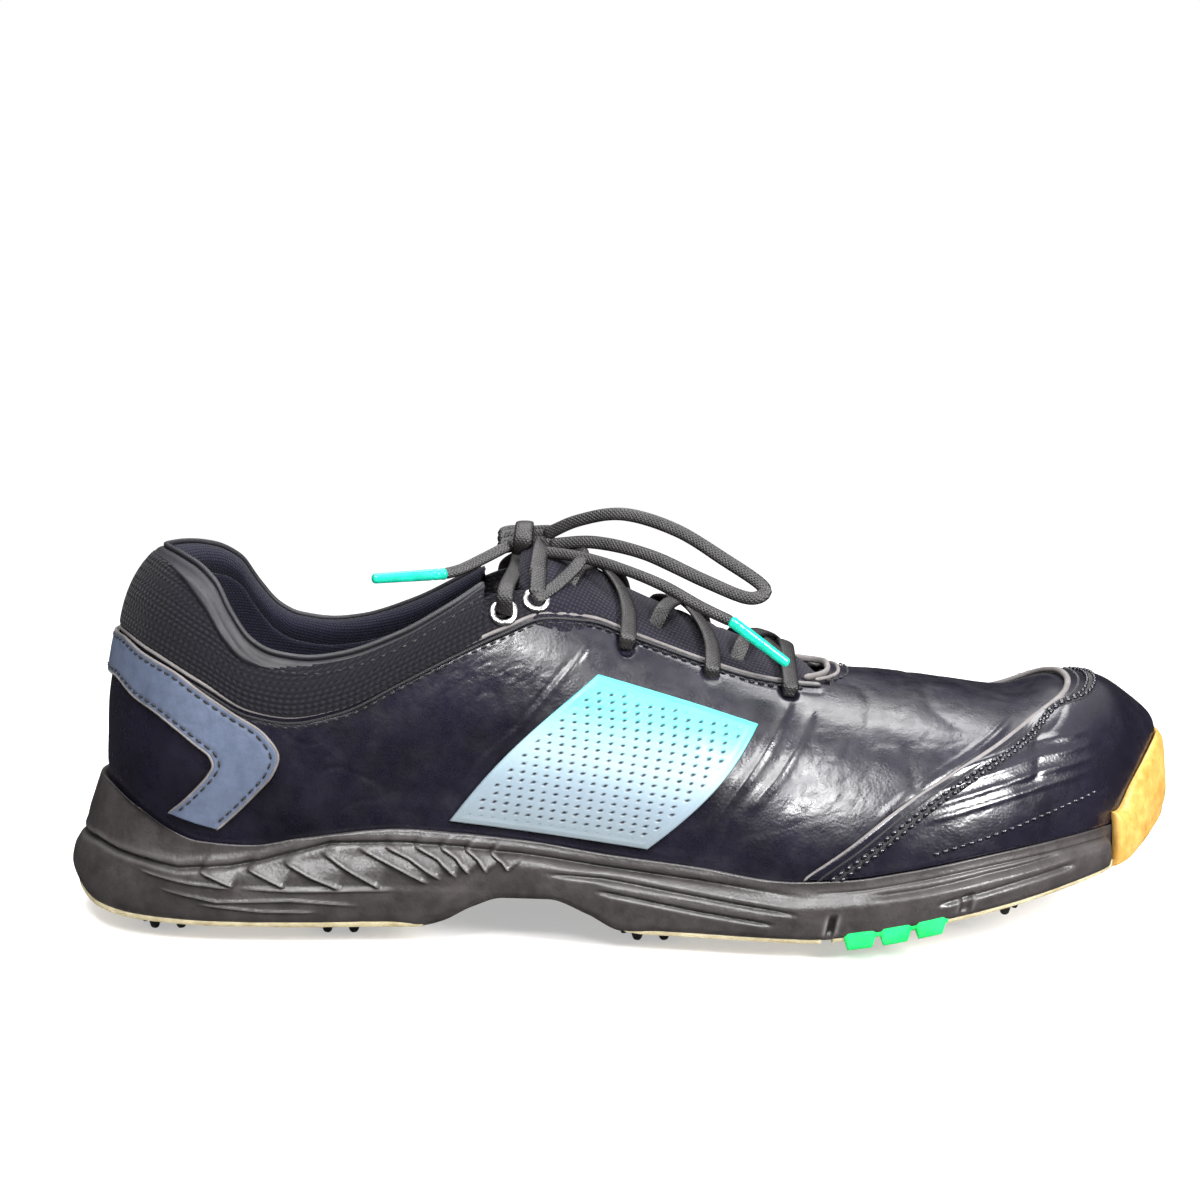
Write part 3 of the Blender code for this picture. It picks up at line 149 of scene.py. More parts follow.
TONGUE_START_X = 121.5
TONGUE_END_X = 212.0
LACE_ROWS = (117.8, 126.2, 150.2, 172.7, 194.1)
METAL_ROWS = 2
EYESTAY_X = (112.6, 144.0)
EYESTAY_HEIGHT = 9.5
EYELET_LIFT = 0.47
HOLE_MARGIN = 5.5
KNOT = np.array((122.6, 0.0, 102.6))
COLLAR_END_X = 112.2
COLLAR_INNER_ROW = 90
KNIT_ROW = 1.3
KNIT_COLUMN = 2.0

# The zones handed to bend(): a long stretch for the upper and laces, the groove for the sole.
UPPER_BEND = (166.0, 240.0)
SOLE_BEND = (189.0, 217.0)


def smooth_function(points):
    """A function through the points that never overshoots them. The values may be numbers or vectors."""
    knots = np.array([p[0] for p in points], float)
    values = np.array([p[1] for p in points], float).reshape(len(points), -1)
    spans = np.diff(knots)[:, None]
    rises = np.diff(values, axis=0) / spans
    slopes = np.zeros_like(values)
    turning = rises[:-1] * rises[1:] <= 0
    total = np.where(turning, 1.0, rises[:-1] + rises[1:])
    slopes[1:-1] = np.where(turning, 0.0, 2 * rises[:-1] * rises[1:] / total)
    slopes[0], slopes[-1] = rises[0], rises[-1]

    def value(x):
        x = np.clip(np.asarray(x, float), knots[0], knots[-1])
        i = np.clip(np.searchsorted(knots, x, side="right") - 1, 0, len(knots) - 2)
        h = spans[i, 0]
        s = ((x - knots[i]) / h)[..., None]
        h = h[..., None]
        found = (
            values[i] * (1 + 2 * s) * (1 - s) ** 2
            + slopes[i] * h * s * (1 - s) ** 2
            + values[i + 1] * s * s * (3 - 2 * s)
            + slopes[i + 1] * h * s * s * (s - 1)
        )
        return found[..., 0] if values.shape[1] == 1 else found

    return value


def smoothstep(x, low, high):
    s = np.clip((np.asarray(x, float) - low) / (high - low), 0, 1)
    return s * s * (3 - 2 * s)


def between(x, low, high, fall, end):
    """Rises from low to high and falls again from fall to end."""
    return smoothstep(x, low, high) * smoothstep(-x, -end, -fall)


def hump(distance, width):
    return np.exp(-((distance / width) ** 2))


def unit(vectors, tiny=1e-12):
    return vectors / (np.linalg.norm(vectors, axis=-1)[..., None] + tiny)


def lengths_along(path):
    return np.concatenate([[0], np.cumsum(np.linalg.norm(np.diff(path, axis=0), axis=1))])


def sample(at, table, path):
    """The path's points at these values of its table."""
    return np.column_stack([np.interp(at, table, path[:, k]) for k in range(path.shape[1])])


def catmull_rom(a, b, c, d, t):
    square = 2 * a - 5 * b + 4 * c - d
    cube = 3 * b - a - 3 * c + d
    return 0.5 * (2 * b + (c - a) * t + square * t**2 + cube * t**3)


def closed_curve(points, steps=16):
    p = np.array(points, float)
    near = (np.roll(p, 1, 0), p, np.roll(p, -1, 0), np.roll(p, -2, 0))
    found = [catmull_rom(*near, t) for t in np.linspace(0, 1, steps, endpoint=False)]
    return np.stack(found, axis=1).reshape(-1, 2)


def even(path, step, count=None):
    """The path with points at even distances."""
    path = np.array(path, float)
    length = lengths_along(path)
    count = count or max(int(length[-1] / step) + 1, 3)
    return sample(np.linspace(0, length[-1], count), length, path)


def smooth_path(points, step=0.8, rounds=14):
    """An evenly spaced smooth curve through the points."""
    p = np.array(points, float)
    p = np.vstack([2 * p[0] - p[1], p, 2 * p[-1] - p[-2]])
    found = []
    for a, b, c, d in zip(p, p[1:], p[2:], p[3:]):
        found += [catmull_rom(a, b, c, d, t) for t in np.linspace(0, 1, rounds, endpoint=False)]
    found.append(p[-2])
    return even(found, step)


def half_outlines():
    ring = closed_curve(OUTLINE)
    heel, toe = np.argmin(ring[:, 0]), np.argmax(ring[:, 0])
    ring = np.roll(ring, -heel, axis=0)
    toe = (toe - heel) % len(ring)
    lateral = ring[: toe + 1]
    medial = np.vstack([ring[toe:], ring[:1]])[::-1]
    sides = {}
    for side, line in ((-1, lateral), (1, medial)):
        length = lengths_along(line)
        u = np.linspace(0, 1, 400)
        line = sample(u, length / length[-1], line)
        along = np.gradient(line, axis=0)
        along[0], along[-1] = (0, side), (0, -side)
        along /= np.linalg.norm(along, axis=1)[:, None]
        sides[side] = (u, line, np.column_stack([along[:, 1], -along[:, 0]]) * side)
    return sides


HALVES = half_outlines()
rim_top = smooth_function(RIM_TOP)
footbed = smooth_function(FOOTBED)
sole_bottom = smooth_function(SOLE_BOTTOM)
leather_top = smooth_function(LEATHER_TOP)
collar_top = smooth_function(COLLAR_TOP)
toe_seam = smooth_function(TOE_SEAM)
bumper_top = smooth_function(BUMPER_TOP)


def rim_inset(x):
    return SIDE_FLARE + (HEEL_FLARE - SIDE_FLARE) * smoothstep(-np.asarray(x), -HEEL_FLARE_END_X, 0)


def upper_inset(x):
    return rim_inset(x) + RIM + SKIN_SPACE


def plan_path(side, inset):
    u, line, inward = HALVES[side]
    depth = inset(line[:, 0]) if callable(inset) else np.full(len(line), float(inset))
    return u, line + inward * depth[:, None]


def plan_at(side, inset, stations):
    return sample(stations, *plan_path(side, inset))


def station_of(x, side=-1, inset=upper_inset):
    u, path = plan_path(side, inset)
    return np.interp(x, path[:, 0], u)


def rib_tables():
    heads, squareness = [], []
    for foot, head, power in RIBS:
        u = 0.0 if foot == 0 else (1.0 if foot == 300 else float(station_of(foot)))
        heads.append((u, head))
        squareness.append((u, power))
    return smooth_function(heads), smooth_function(squareness)


rib_head, rib_squareness = rib_tables()
FEET = {side: plan_path(side, upper_inset) for side in (-1, 1)}


def bulge(u, t):
    amount = 1.5 + 0.8 * smoothstep(-u, -0.12, 0)
    return amount * np.sin(np.pi * np.clip(t, 0, 1)) ** 2


def skin(side, u, t):
    """A point of the upper's outer surface: t is 0 at the sole and 1 on the middle line."""
    u, t = np.broadcast_arrays(np.clip(u, 0, 1), np.clip(t, 0, 1))
    side = np.broadcast_to(side, u.shape)
    foot = np.zeros(u.shape + (3,))
    for s in (-1, 1):
        here = side == s
        table, path = FEET[s]
        foot[here, 0] = np.interp(u[here], table, path[:, 0])
        foot[here, 1] = np.interp(u[here], table, path[:, 1])
    foot[..., 2] = footbed(foot[..., 0])
    head = rib_head(u)
    power = rib_squareness(u) / 2
    rise = t**power / (t**power + (1 - t) ** power) * math.pi / 2
    up = np.sin(rise) ** (1 / power)
    across = 1 - np.cos(rise) ** (1 / power)
    point = foot + (head - foot) * np.stack([across, across, up], axis=-1)
    outward = foot[..., :2] - head[..., :2]
    point[..., :2] += unit(outward, 1e-9) * bulge(u, t)[..., None]
    return point


def normal_at(w, t):
    """The surface's outward direction, by position around the foot."""

    def at(w, t):
        return skin(np.where(w < 0, -1, 1), np.abs(w), t)

    e = NORMAL_STEP
    across = at(w + e, t) - at(w - e, t)
    up = at(w, np.minimum(t + e, 1)) - at(w, np.maximum(t - e, 0))
    return unit(np.cross(up, across))


def around(w, t, depth=0.0):
    w, t, depth = np.broadcast_arrays(np.asarray(w, float), np.asarray(t, float), np.asarray(depth, float))
    return skin(np.where(w < 0, -1, 1), np.abs(w), t) + normal_at(w, t) * depth[..., None]


def over_normal(u, a):
    """The outward direction by position across the foot, where the middle line is not an end."""

    def at(u, a):
        return skin(np.where(a < 0, -1, 1), u, 1 - np.abs(a))

    e = NORMAL_STEP
    along = at(np.minimum(u + e, 1), a) - at(np.maximum(u - e, 0), a)
    across = at(u, np.minimum(a + e, 1)) - at(u, np.maximum(a - e, -1))
    return unit(np.cross(along, across))


def over(u, a, depth=0.0):
    u, a, depth = np.broadcast_arrays(np.asarray(u, float), np.asarray(a, float), np.asarray(depth, float))
    return skin(np.where(a < 0, -1, 1), u, 1 - np.abs(a)) + over_normal(u, a) * depth[..., None]


def crossing(w, edge):
    """Where the rib at w first rises through a line drawn in side view."""
    t = np.linspace(0.02, 1, 200)
    line = skin(-1 if w < 0 else 1, abs(w), t)
    above = line[:, 2] - edge(line[:, 0])
    found = np.nonzero((above[:-1] < 0) & (above[1:] >= 0))[0]
    if not len(found):
        return 1.0
    k = found[0]
    return t[k] + (t[k + 1] - t[k]) * above[k] / (above[k] - above[k + 1])


def height_at(w, z):
    return crossing(w, lambda x: np.full(np.shape(x), float(z)))


def leather_edge(w):
    return crossing(w, leather_top)


def lining_top(x):
    under_roll = collar_top(x) - 5.8
    return under_roll + (leather_top(x) - 1.0 - under_roll) * smoothstep(x, 104, 126)


def lining_depth(points):
    x, z = points[..., 0], points[..., 2]
    heel = COUNTER_ROOM * (1 - smoothstep(x, 74, 92))
    collar = smoothstep(z, leather_top(x) - 27, leather_top(x) - 9) * (1 - smoothstep(x, 94, 114))
    return LEATHER + SKIN_SPACE + heel + (PADDING - heel) * collar


def rib_scale(w, t):
    e = 0.01
    return np.linalg.norm(around(w, t + e) - around(w, t - e), axis=-1) / (2 * e)


MAP_U, MAP_T = np.linspace(0, 1, 200), np.linspace(0, 0.99, 120)
MAPS = {s: skin(s, *np.meshgrid(MAP_U, MAP_T, indexing="ij"))[..., [0, 2]] for s in (-1, 1)}


def locate(side, x, z):
    """The place (w, t) on the upper of a point given in side view."""
    gap = np.linalg.norm(MAPS[side] - (x, z), axis=-1)
    i, j = np.unravel_index(gap.argmin(), gap.shape)
    spot = np.array((MAP_U[i], MAP_T[j]))
    e = 1e-3
    for _ in range(4):
        here, ahead, above = (skin(side, *(spot + k))[[0, 2]] for k in ((0, 0), (e, 0), (0, e)))
        slope = np.column_stack([(ahead - here) / e, (above - here) / e])
        spot = spot + np.clip(np.linalg.solve(slope, np.array((x, z)) - here), -0.02, 0.02)
    return side * spot[0], spot[1]


def hole_place(side, row):
    u = float(station_of(LACE_ROWS[row]))
    edge = leather_edge(side * u)
    margin = EYESTAY_HEIGHT * EYELET_LIFT if row < METAL_ROWS else -HOLE_MARGIN
    return side * u, edge + margin / float(rib_scale(side * u, edge - JUST_UNDER))


HOLES = {(side, row): hole_place(side, row) for side in (-1, 1) for row in range(len(LACE_ROWS))}


# ---------------------------------------------------------------- relief


def lattice(i, j, k, seed):
    h = (i * 374761393 + j * 668265263 + k * 1442695041 + seed * 1274126177) & 0xFFFFFFFF
    h = ((h ^ (h >> 13)) * 1274126177) & 0xFFFFFFFF
    return ((h ^ (h >> 16)) & 0xFFFF) / 32767.5 - 1


def noise(points, size, seed=0):
    """Smooth noise from -1 to 1 with lumps about this many millimetres big. The size may differ by axis."""
    p = np.asarray(points, float) / np.asarray(size, float) + 1000.0
    base = np.floor(p).astype(np.int64)
    f = p - base
    f = f * f * (3 - 2 * f)
    total = 0.0
    for step in np.ndindex(2, 2, 2):
        weight = 1.0
        for axis, ahead in enumerate(step):
            weight = weight * (f[..., axis] if ahead else 1 - f[..., axis])
        total = total + weight * lattice(*(base[..., axis] + step[axis] for axis in range(3)), seed)
    return total


def lumps(points, *layers):
    """Noise in layers of (height, size, seed)."""
    return sum(height * noise(points, size, seed) for height, size, seed in layers)


def creases(points, size, seed, sharp=0.16):
    """1 along thin wandering lines and 0 between them."""
    warp = np.stack([noise(points, np.asarray(size) * 1.7, seed + k) for k in (11, 12, 13)], axis=-1)
    value = noise(points + warp * np.asarray(size) * 0.55, size, seed)
    return np.clip(1 - np.abs(value) / sharp, 0, 1) ** 1.4


def patch(x, z, cx, cz, rx, rz):
    """A soft-edged oval in side view."""
    return np.exp(-(((x - cx) / rx) ** 2 + ((z - cz) / rz) ** 2) ** 1.5)


def from_line(x, z, line):
    """The distance from a line in side view, positive on its left, and the nearest point's share of it."""
    line = np.array(line, float)
    best = np.full(np.shape(x), 1e9)
    signed = np.zeros(np.shape(x))
    along = np.zeros(np.shape(x))
    lengths = np.linalg.norm(np.diff(line, axis=0), axis=1)
    done = 0.0
    for a, b, length in zip(line, line[1:], lengths):
        d = (b - a) / length
        s = np.clip((x - a[0]) * d[0] + (z - a[1]) * d[1], 0, length)
        dx, dz = x - a[0] - d[0] * s, z - a[1] - d[1] * s
        distance = np.hypot(dx, dz)
        nearer = distance < best
        best = np.where(nearer, distance, best)
        signed = np.where(nearer, distance * np.sign(d[0] * dz - d[1] * dx), signed)
        along = np.where(nearer, (done + s) / lengths.sum(), along)
        done += length
    return signed, along


def welt(x, z, line, width, height):
    """A raised rounded line that fades at its ends."""
    distance, along = from_line(x, z, line)
    return height * hump(distance, width) * between(along, 0, 0.12, 0.88, 1)


def ledge(x, z, line, reach, height):
    """A step that is sharp on the line's right and dies away on its left."""
    distance, along = from_line(x, z, line)
    rise = np.exp(-np.clip(distance, 0, None) / reach) * smoothstep(distance, -0.5, 0.1)
    return height * rise * between(along, 0, 0.2, 0.85, 1)


EMBOSSED = [(142.3, 80.0), (133.1, 70.2), (122.6, 58.1), (112.1, 48.8), (102.5, 36.5)]
FRONT_WELTS = [
    [(195.3, 64.7), (190.5, 57.5), (184.6, 49.2), (177.2, 39.8), (170.7, 30.1)],
    [(200.5, 62.1), (196.5, 55.0), (190.1, 46.5), (181.4, 37.0)],
]
TOE_WELT = [(214, 36.5), (222, 42.0), (231.0, 47.2), (243.6, 53.0), (254.4, 58.2)]
FINE_LINES = [
    [(227, 44.8), (243, 48.4), (258, 51.2), (274, 53.0)],
    [(227, 41.6), (243, 45.2), (258, 48.0), (276, 50.2)],
    [(226, 38.4), (243, 42.0), (258, 44.8), (277, 47.2)],
    [(225, 35.2), (243, 38.8), (258, 41.6), (277, 44.2)],
]
SCRATCH = [(169.4, 28.2), (184.9, 32.2), (208.0, 38.8)]


# Creased areas in side view: how strongly, then centre and radii.
WORN_AREAS = ((1.0, (119, 68, 19, 12)), (0.9, (203, 48, 15, 12)), (0.6, (231, 55, 14, 8)))
WORN_ALL_OVER = 0.03
LACE_HOLE = np.array((2.4, 3.2, 3.0))


def leather_relief(p):
    """How far the leather stands out from its form: lumps, flex folds, crackle and embossed lines."""
    x, z = p[..., 0], p[..., 2]
    out = lumps(p, (0.42, (34, 30, 24), 3), (0.16, (12, 14, 10), 5), (0.05, 4.5, 6))
    flex = between(x, 196, 214, 232, 252) * smoothstep(z, 30, 46)
    worn = sum(share * patch(x, z, *oval) for share, oval in WORN_AREAS)
    worn = np.clip(worn + WORN_ALL_OVER, 0, 1)
    knee = patch(x, z, 192, 49, 9, 10)
    heel = patch(x, z, 66, 44, 26, 14)
    out += 0.4 * flex * noise(p, (15, 26, 20), 24)
    for area, depth, size, seed, sharp in (
        (flex, 0.3, (13, 34, 24), 21, 0.35), (flex, 0.09, (4.5, 11, 8), 31, 0.16),
        (worn, 0.15, (3.4, 5, 3.4), 41, 0.22), (worn, 0.07, (1.5, 2.4, 1.5), 51, 0.25),
        (knee, 0.35, (6.5, 16, 11.0), 61, 0.4), (heel, 0.22, (12, 20, 8), 71, 0.14),
    ):  # fmt: skip
        out -= depth * area * creases(p, size, seed, sharp)
    out += welt(x, z, EMBOSSED, 0.55, 0.45) - welt(x + 1.6, z + 0.8, EMBOSSED, 0.7, 0.25)
    for line in FRONT_WELTS:
        out += welt(x, z, line, 1.1, 0.55)
    out += welt(x, z, TOE_WELT, 0.45, 0.35) + welt(x, z + 1.3, TOE_WELT, 0.45, 0.35)
    out -= welt(x, z, SCRATCH, 0.25, 0.1)
    edge = leather_top(x) - z
    out -= 0.35 * hump(edge - 1.5, 0.5) * (x < 203)
    out *= smoothstep(np.clip(z - rim_top(x), 0, None), 0.0, 5.0)
    for (_, row), place in HOLES.items():
        if row >= METAL_ROWS:
            distance = np.linalg.norm((p - around(*place)) / LACE_HOLE, axis=-1)
            out -= 1.5 * smoothstep(-distance, -1.15, -0.6)
    return out


def overlay_relief(p):
    out = lumps(p, (0.10, (16, 16, 12), 82), (0.03, 3.5, 83))
    return out - 0.05 * creases(p, (4, 6, 4), 84, 0.15)


FEATHERS = [
    [(38.2, 20.2), (47.9, 16.2)],
    [(50.8, 21.0), (61.4, 16.2)],
    [(60.4, 23.0), (68, 19.0), (76, 15.7)],
    [(70.6, 25.4), (78, 20.6), (86.6, 15.7)],
    [(79.8, 26.6), (88, 22.6), (99.1, 16.9)],
    [(86.6, 27.2), (94, 23.6), (102.4, 17.9)],
    [(94.3, 27.4), (101, 23.8), (106.4, 18.6)],
    [(101.1, 27.2), (106, 24.0), (109.6, 19.6)],
    [(107.8, 26.7), (111.8, 23.8), (114.2, 20.2)],
    [(114.5, 25.8), (118, 23.4), (120.0, 20.8)],
]
HEEL_LINES = [
    [(47.9, 16.0), (62, 15.4), (76, 15.4), (90.6, 15.5)],
    [(20.7, 19.2), (35.3, 16.9), (47.8, 15.7)],
    [(25.6, 15.2), (43.0, 12.2), (62.4, 12.8), (81.8, 11.2)],
    [(37.2, 11.4), (54.7, 9.7), (70, 9.6)],
]
BALL_GROOVES = [
    [(128, 20.6), (143.6, 19.4), (159, 17.4), (178.5, 14.8), (196.4, 12.6)],
    [(141, 16.6), (153.8, 14.6), (169.5, 12.2), (189.8, 9.8)],
]
TOE_GROOVES = [
    [(211, 17.3), (226.6, 19.2), (244, 21.8), (268.1, 24.2)],
    [(229, 15.2), (240, 17.2), (254, 19.4), (270.2, 21.4)],
]
RIM_CREASE = [(-4, 22.6), (1.8, 22.5), (7.5, 23.2), (14.5, 22.2), (24, 21.4), (32.5, 20.4), (46.4, 21.3),
              (54.4, 22.7), (65, 25.4), (73, 27.4), (91, 27.6), (104.5, 26.8), (123, 25.0), (143.6, 22.3),
              (169, 19.9), (192, 17.4), (199, 17.0)]  # fmt: skip
NOTCHES = ((202.0, 1.1, 1.6), (237.2, 1.7, 1.0))


def sole_relief(p, share):
    """Moulded lines of the foam's wall. share is 0 at its foot and 1 at its rim."""
    x, z = p[..., 0], p[..., 2]
    out = lumps(p, (0.07, 9, 91), (0.035, 3, 92))
    for line in FEATHERS:
        out += ledge(x, z, line, 3.0, 1.25) + welt(x - 0.1, z, line, 0.42, 0.4)
    for line in HEEL_LINES:
        out += ledge(x, z, line, 1.6, 0.65) + welt(x, z, line, 0.4, 0.3)
    crease, along = from_line(x, z, RIM_CREASE)
    fade = between(along, 0, 0.05, 0.86, 1)
    out += (0.5 * hump(crease - 1.9, 1.0) - 1.25 * hump(crease, 0.75)) * fade
    under = smoothstep(-crease, 0, 1.5) * smoothstep(z, 15, 17)
    out -= 0.35 * between(x, 36, 44, 106, 118) * under
    for line in BALL_GROOVES:
        out += welt(x, z - 1.5, line, 0.7, 0.25) - welt(x, z, line, 0.62, 1.0)
    for line in TOE_GROOVES:
        out -= welt(x, z, line, 0.8, 0.95)
    out -= 0.5 * hump(rim_top(x) - z - 2.6, 0.45) * smoothstep(x, 196, 212)
    for notch, width, depth in NOTCHES:
        lower = between(share, 0.03, 0.2, 0.34, 0.52)
        out -= depth * np.exp(-(((x - notch - 3.0 * share) / width) ** 4)) * lower
    return out * smoothstep(share, 0.0, 0.05)


# ---------------------------------------------------------------- meshes


def put(points):
    return (np.asarray(points, float) - ORIGIN) * MM


def build(name, points, faces, looks, uv=None, face_looks=None, weld=0.004, sharp=None, marks=None):
    """An object from points in millimetres. Loose ends are welded and its faces turned outwards."""
    mesh = bpy.data.meshes.new(name)
    faces = faces.tolist() if isinstance(faces, np.ndarray) else faces
    mesh.from_pydata(put(points).tolist(), [], faces)
    if uv is not None:
        layer = mesh.uv_layers.new(name="UVMap")
        corners = np.empty(len(mesh.loops), np.int32)
        mesh.loops.foreach_get("vertex_index", corners)
        layer.data.foreach_set("uv", (np.asarray(uv, float)[corners] * 0.1).astype(np.float32).ravel())
    if face_looks is not None:
        mesh.polygons.foreach_set("material_index", np.asarray(face_looks, np.int32))
    for mark, values in (marks or {}).items():
        layer = mesh.attributes.new(mark, "FLOAT", "POINT")
        layer.data.foreach_set("value", np.asarray(values, np.float32).ravel())
    bm = bmesh.new()
    bm.from_mesh(mesh)
    if weld:
        bmesh.ops.remove_doubles(bm, verts=bm.verts, dist=weld * MM)
    bmesh.ops.recalc_face_normals(bm, faces=bm.faces)
    if bm.calc_volume(signed=True) < 0:
        bmesh.ops.reverse_faces(bm, faces=bm.faces)
    bm.to_mesh(mesh)
    bm.free()
    mesh.shade_smooth()
    if sharp:
        mesh.set_sharp_from_angle(angle=math.radians(sharp))
    for look in looks:
        mesh.materials.append(look)
    made = bpy.data.objects.new(name, mesh)
    bpy.context.scene.collection.objects.link(made)
    return made


def quads(rows, columns, wrap_rows=False, wrap_columns=False, start=0):
    r = np.arange(rows if wrap_rows else rows - 1)[:, None]
    c = np.arange(columns if wrap_columns else columns - 1)[None, :]
    r2, c2 = (r + 1) % rows, (c + 1) % columns
    corner = [r * columns + c, r * columns + c2, r2 * columns + c2, r2 * columns + c]
    return np.stack(np.broadcast_arrays(*corner), axis=-1).reshape(-1, 4) + start


def arc_uv(points):
    """Distances along a grid's rows and columns, as texture coordinates in millimetres."""
    across = np.linalg.norm(np.diff(points, axis=1), axis=-1)
    up = np.linalg.norm(np.diff(points, axis=0), axis=-1)
    u = np.concatenate([np.zeros((points.shape[0], 1)), np.cumsum(across, axis=1)], axis=1)
    u -= u[:, points.shape[1] // 2 : points.shape[1] // 2 + 1]
    v = np.concatenate([np.zeros((1, points.shape[1])), np.cumsum(up, axis=0)], axis=0)
    return np.stack([u, v], axis=-1)


def sheet(name, outer, inner, looks, edge_look=0, marks=None, round_edge=0.3, sharp=None):
    """A closed skin between two matching grids, with its outer border eased."""
    outer, inner = np.array(outer, float), np.array(inner, float)
    for border in (np.s_[0], np.s_[-1], np.s_[:, 0], np.s_[:, -1]):
        outer[border] += (inner[border] - outer[border]) * round_edge
    rows, columns = outer.shape[:2]
    count = rows * columns
    faces = [quads(rows, columns), quads(rows, columns, start=count)]
    looks_of = [np.zeros(len(faces[0]), int), np.zeros(len(faces[1]), int)]
    index = np.arange(count).reshape(rows, columns)
    for line in (index[0], index[-1], index[:, 0], index[:, -1]):
        wall = np.stack([line[:-1], line[1:], line[1:] + count, line[:-1] + count], axis=-1)
        faces.append(wall)
        looks_of.append(np.full(len(wall), edge_look))
    uv = arc_uv(outer).reshape(-1, 2)
    extra = {k: np.concatenate([np.asarray(v).ravel()] * 2) for k, v in (marks or {}).items()}
    return build(
        name, np.vstack([outer.reshape(-1, 3), inner.reshape(-1, 3)]), np.vstack(faces), looks,
        uv=np.vstack([uv, uv]), face_looks=np.concatenate(looks_of), marks=extra, sharp=sharp,
    )  # fmt: skip


def sweep_parts(path, ups, width, height, sides=12, power=2.6, start=0):
    """Points, faces and texture coordinates of a bar of rounded section along a path."""
    path, ups = np.asarray(path, float), np.asarray(ups, float)
    n = len(path)
    width, height = np.broadcast_to(width, n), np.broadcast_to(height, n)
    along = unit(np.gradient(path, axis=0))
    right = unit(np.cross(along, np.broadcast_to(ups, path.shape)))
    up = np.cross(right, along)
    turn = np.linspace(0, 2 * math.pi, sides, endpoint=False)
    a, b = (np.sign(k) * np.abs(k) ** (2 / power) for k in (np.cos(turn), np.sin(turn)))
    points = (
        path[:, None]
        + right[:, None] * (a[None, :, None] * width[:, None, None] / 2)
        + up[:, None] * (b[None, :, None] * height[:, None, None] / 2)
    )
    along_uv, across_uv = lengths_along(path)[:, None], (a * 0.5)[None] * width[:, None]
    uv = np.stack(np.broadcast_arrays(along_uv, across_uv), axis=-1)
    faces = quads(n, sides, wrap_columns=True, start=start).tolist()
    first, last = start, start + (n - 1) * sides
    faces.append([first + k for k in range(sides)])
    faces.append([last + k for k in range(sides)][::-1])
    return points.reshape(-1, 3), faces, uv.reshape(-1, 2)


def sweeps(name, runs, looks, sides=12, power=2.6, sharp=None):
    """One object made of several bars. A run is (path, ups, width, height)."""
    points, faces, uv = [], [], []
    total = 0
    for path, ups, width, height in runs:
        p, f, t = sweep_parts(path, ups, width, height, sides, power, total)
        points.append(p)
        faces += f
        uv.append(t)
        total += len(p)
    return build(name, np.vstack(points), faces, looks, uv=np.vstack(uv), weld=0, sharp=sharp)


def rounded(count, ends=3):
    """A width factor that closes a bar's two ends softly."""
    factor = np.ones(count)
    for k in range(min(ends, count // 2)):
        factor[k] = factor[-1 - k] = math.sqrt(1 - (1 - (k + 0.35) / ends) ** 2)
    return factor


def surface_path(places, depth, step=0.7):
    """A path on the upper through (w, t) places, with the surface's direction at each point."""
    fine = smooth_path(np.array(places, float) * 100, 0.5) / 100
    line = around(fine[:, 0], fine[:, 1], depth)
    length = lengths_along(line)
    at = np.linspace(0, length[-1], max(int(length[-1] / step), 3))
    w, t = sample(at, length, fine).T
    return around(w, t, depth), normal_at(w, t)


def bead(path, ups, width, height):
    shape = rounded(len(path))
    return path, ups, width * shape, height * shape


def stitches(name, runs, look, length=2.1, gap=1.1, radius=0.3):
    """Separate stitches along each (path, ups), each one a small rounded bar of thread."""
    bars = []
    marks = np.array((0.0, 0.12, 0.5, 0.88, 1.0))
    dip = np.array((-0.28, -0.05, 0.1, -0.05, -0.28))[:, None]
    size = 2 * radius * np.array((0.45, 0.9, 1.0, 0.9, 0.45))
    for path, ups in runs:
        along = lengths_along(path)
        at = 0.6
        while at + length < along[-1]:
            spots = at + length * marks
            up = sample(spots, along, ups)
            bars.append((sample(spots, along, path) + up * dip, up, size, size))
            at += length + gap
    return sweeps(name, bars, [look], sides=6, power=2.0)


def tag(nodes):
    if nodes:
        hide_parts(*nodes)


def ride(obj, body, slot, *nodes):
    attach(obj, body)
    tag(nodes)


def bend(obj, zone, slot, *nodes):
    """Bakes the piece's placement into its mesh and hides the frame's parts that it stands for. The zone is
    not used.
    """
    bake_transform(obj)
    tag(nodes)


# ---------------------------------------------------------------- looks


class Nodes:
    """A node tree in the making."""

    def __init__(self, tree):
        self.tree = tree

    def node(self, kind, settings=None, **inputs):
        """A new node. Its inputs are given by name, or by number as i0, i1 and so on."""
        found = self.tree.nodes.new("ShaderNode" + kind)
        for key, value in (settings or {}).items():
            setattr(found, key, value)
        for key, value in inputs.items():
            self.set(found.inputs[int(key[1:]) if key[1:].isdigit() else key], value)
        return found

    def set(self, socket, value):
        if isinstance(value, bpy.types.NodeSocket):
            self.tree.links.new(value, socket)
        elif isinstance(value, tuple) and len(value) == 3 and socket.type == "RGBA":
            socket.default_value = (*value, 1)
        else:
            socket.default_value = value

    def ramp(self, factor, *stops):
        made = self.node("ValToRGB", i0=factor)
        ramp = made.color_ramp
        for k, (at, color) in enumerate(stops):
            stop = ramp.elements[k] if k < 2 else ramp.elements.new(at)
            stop.position = at
            stop.color = (*color, 1) if isinstance(color, tuple) else (color, color, color, 1)
        return made.outputs[0]


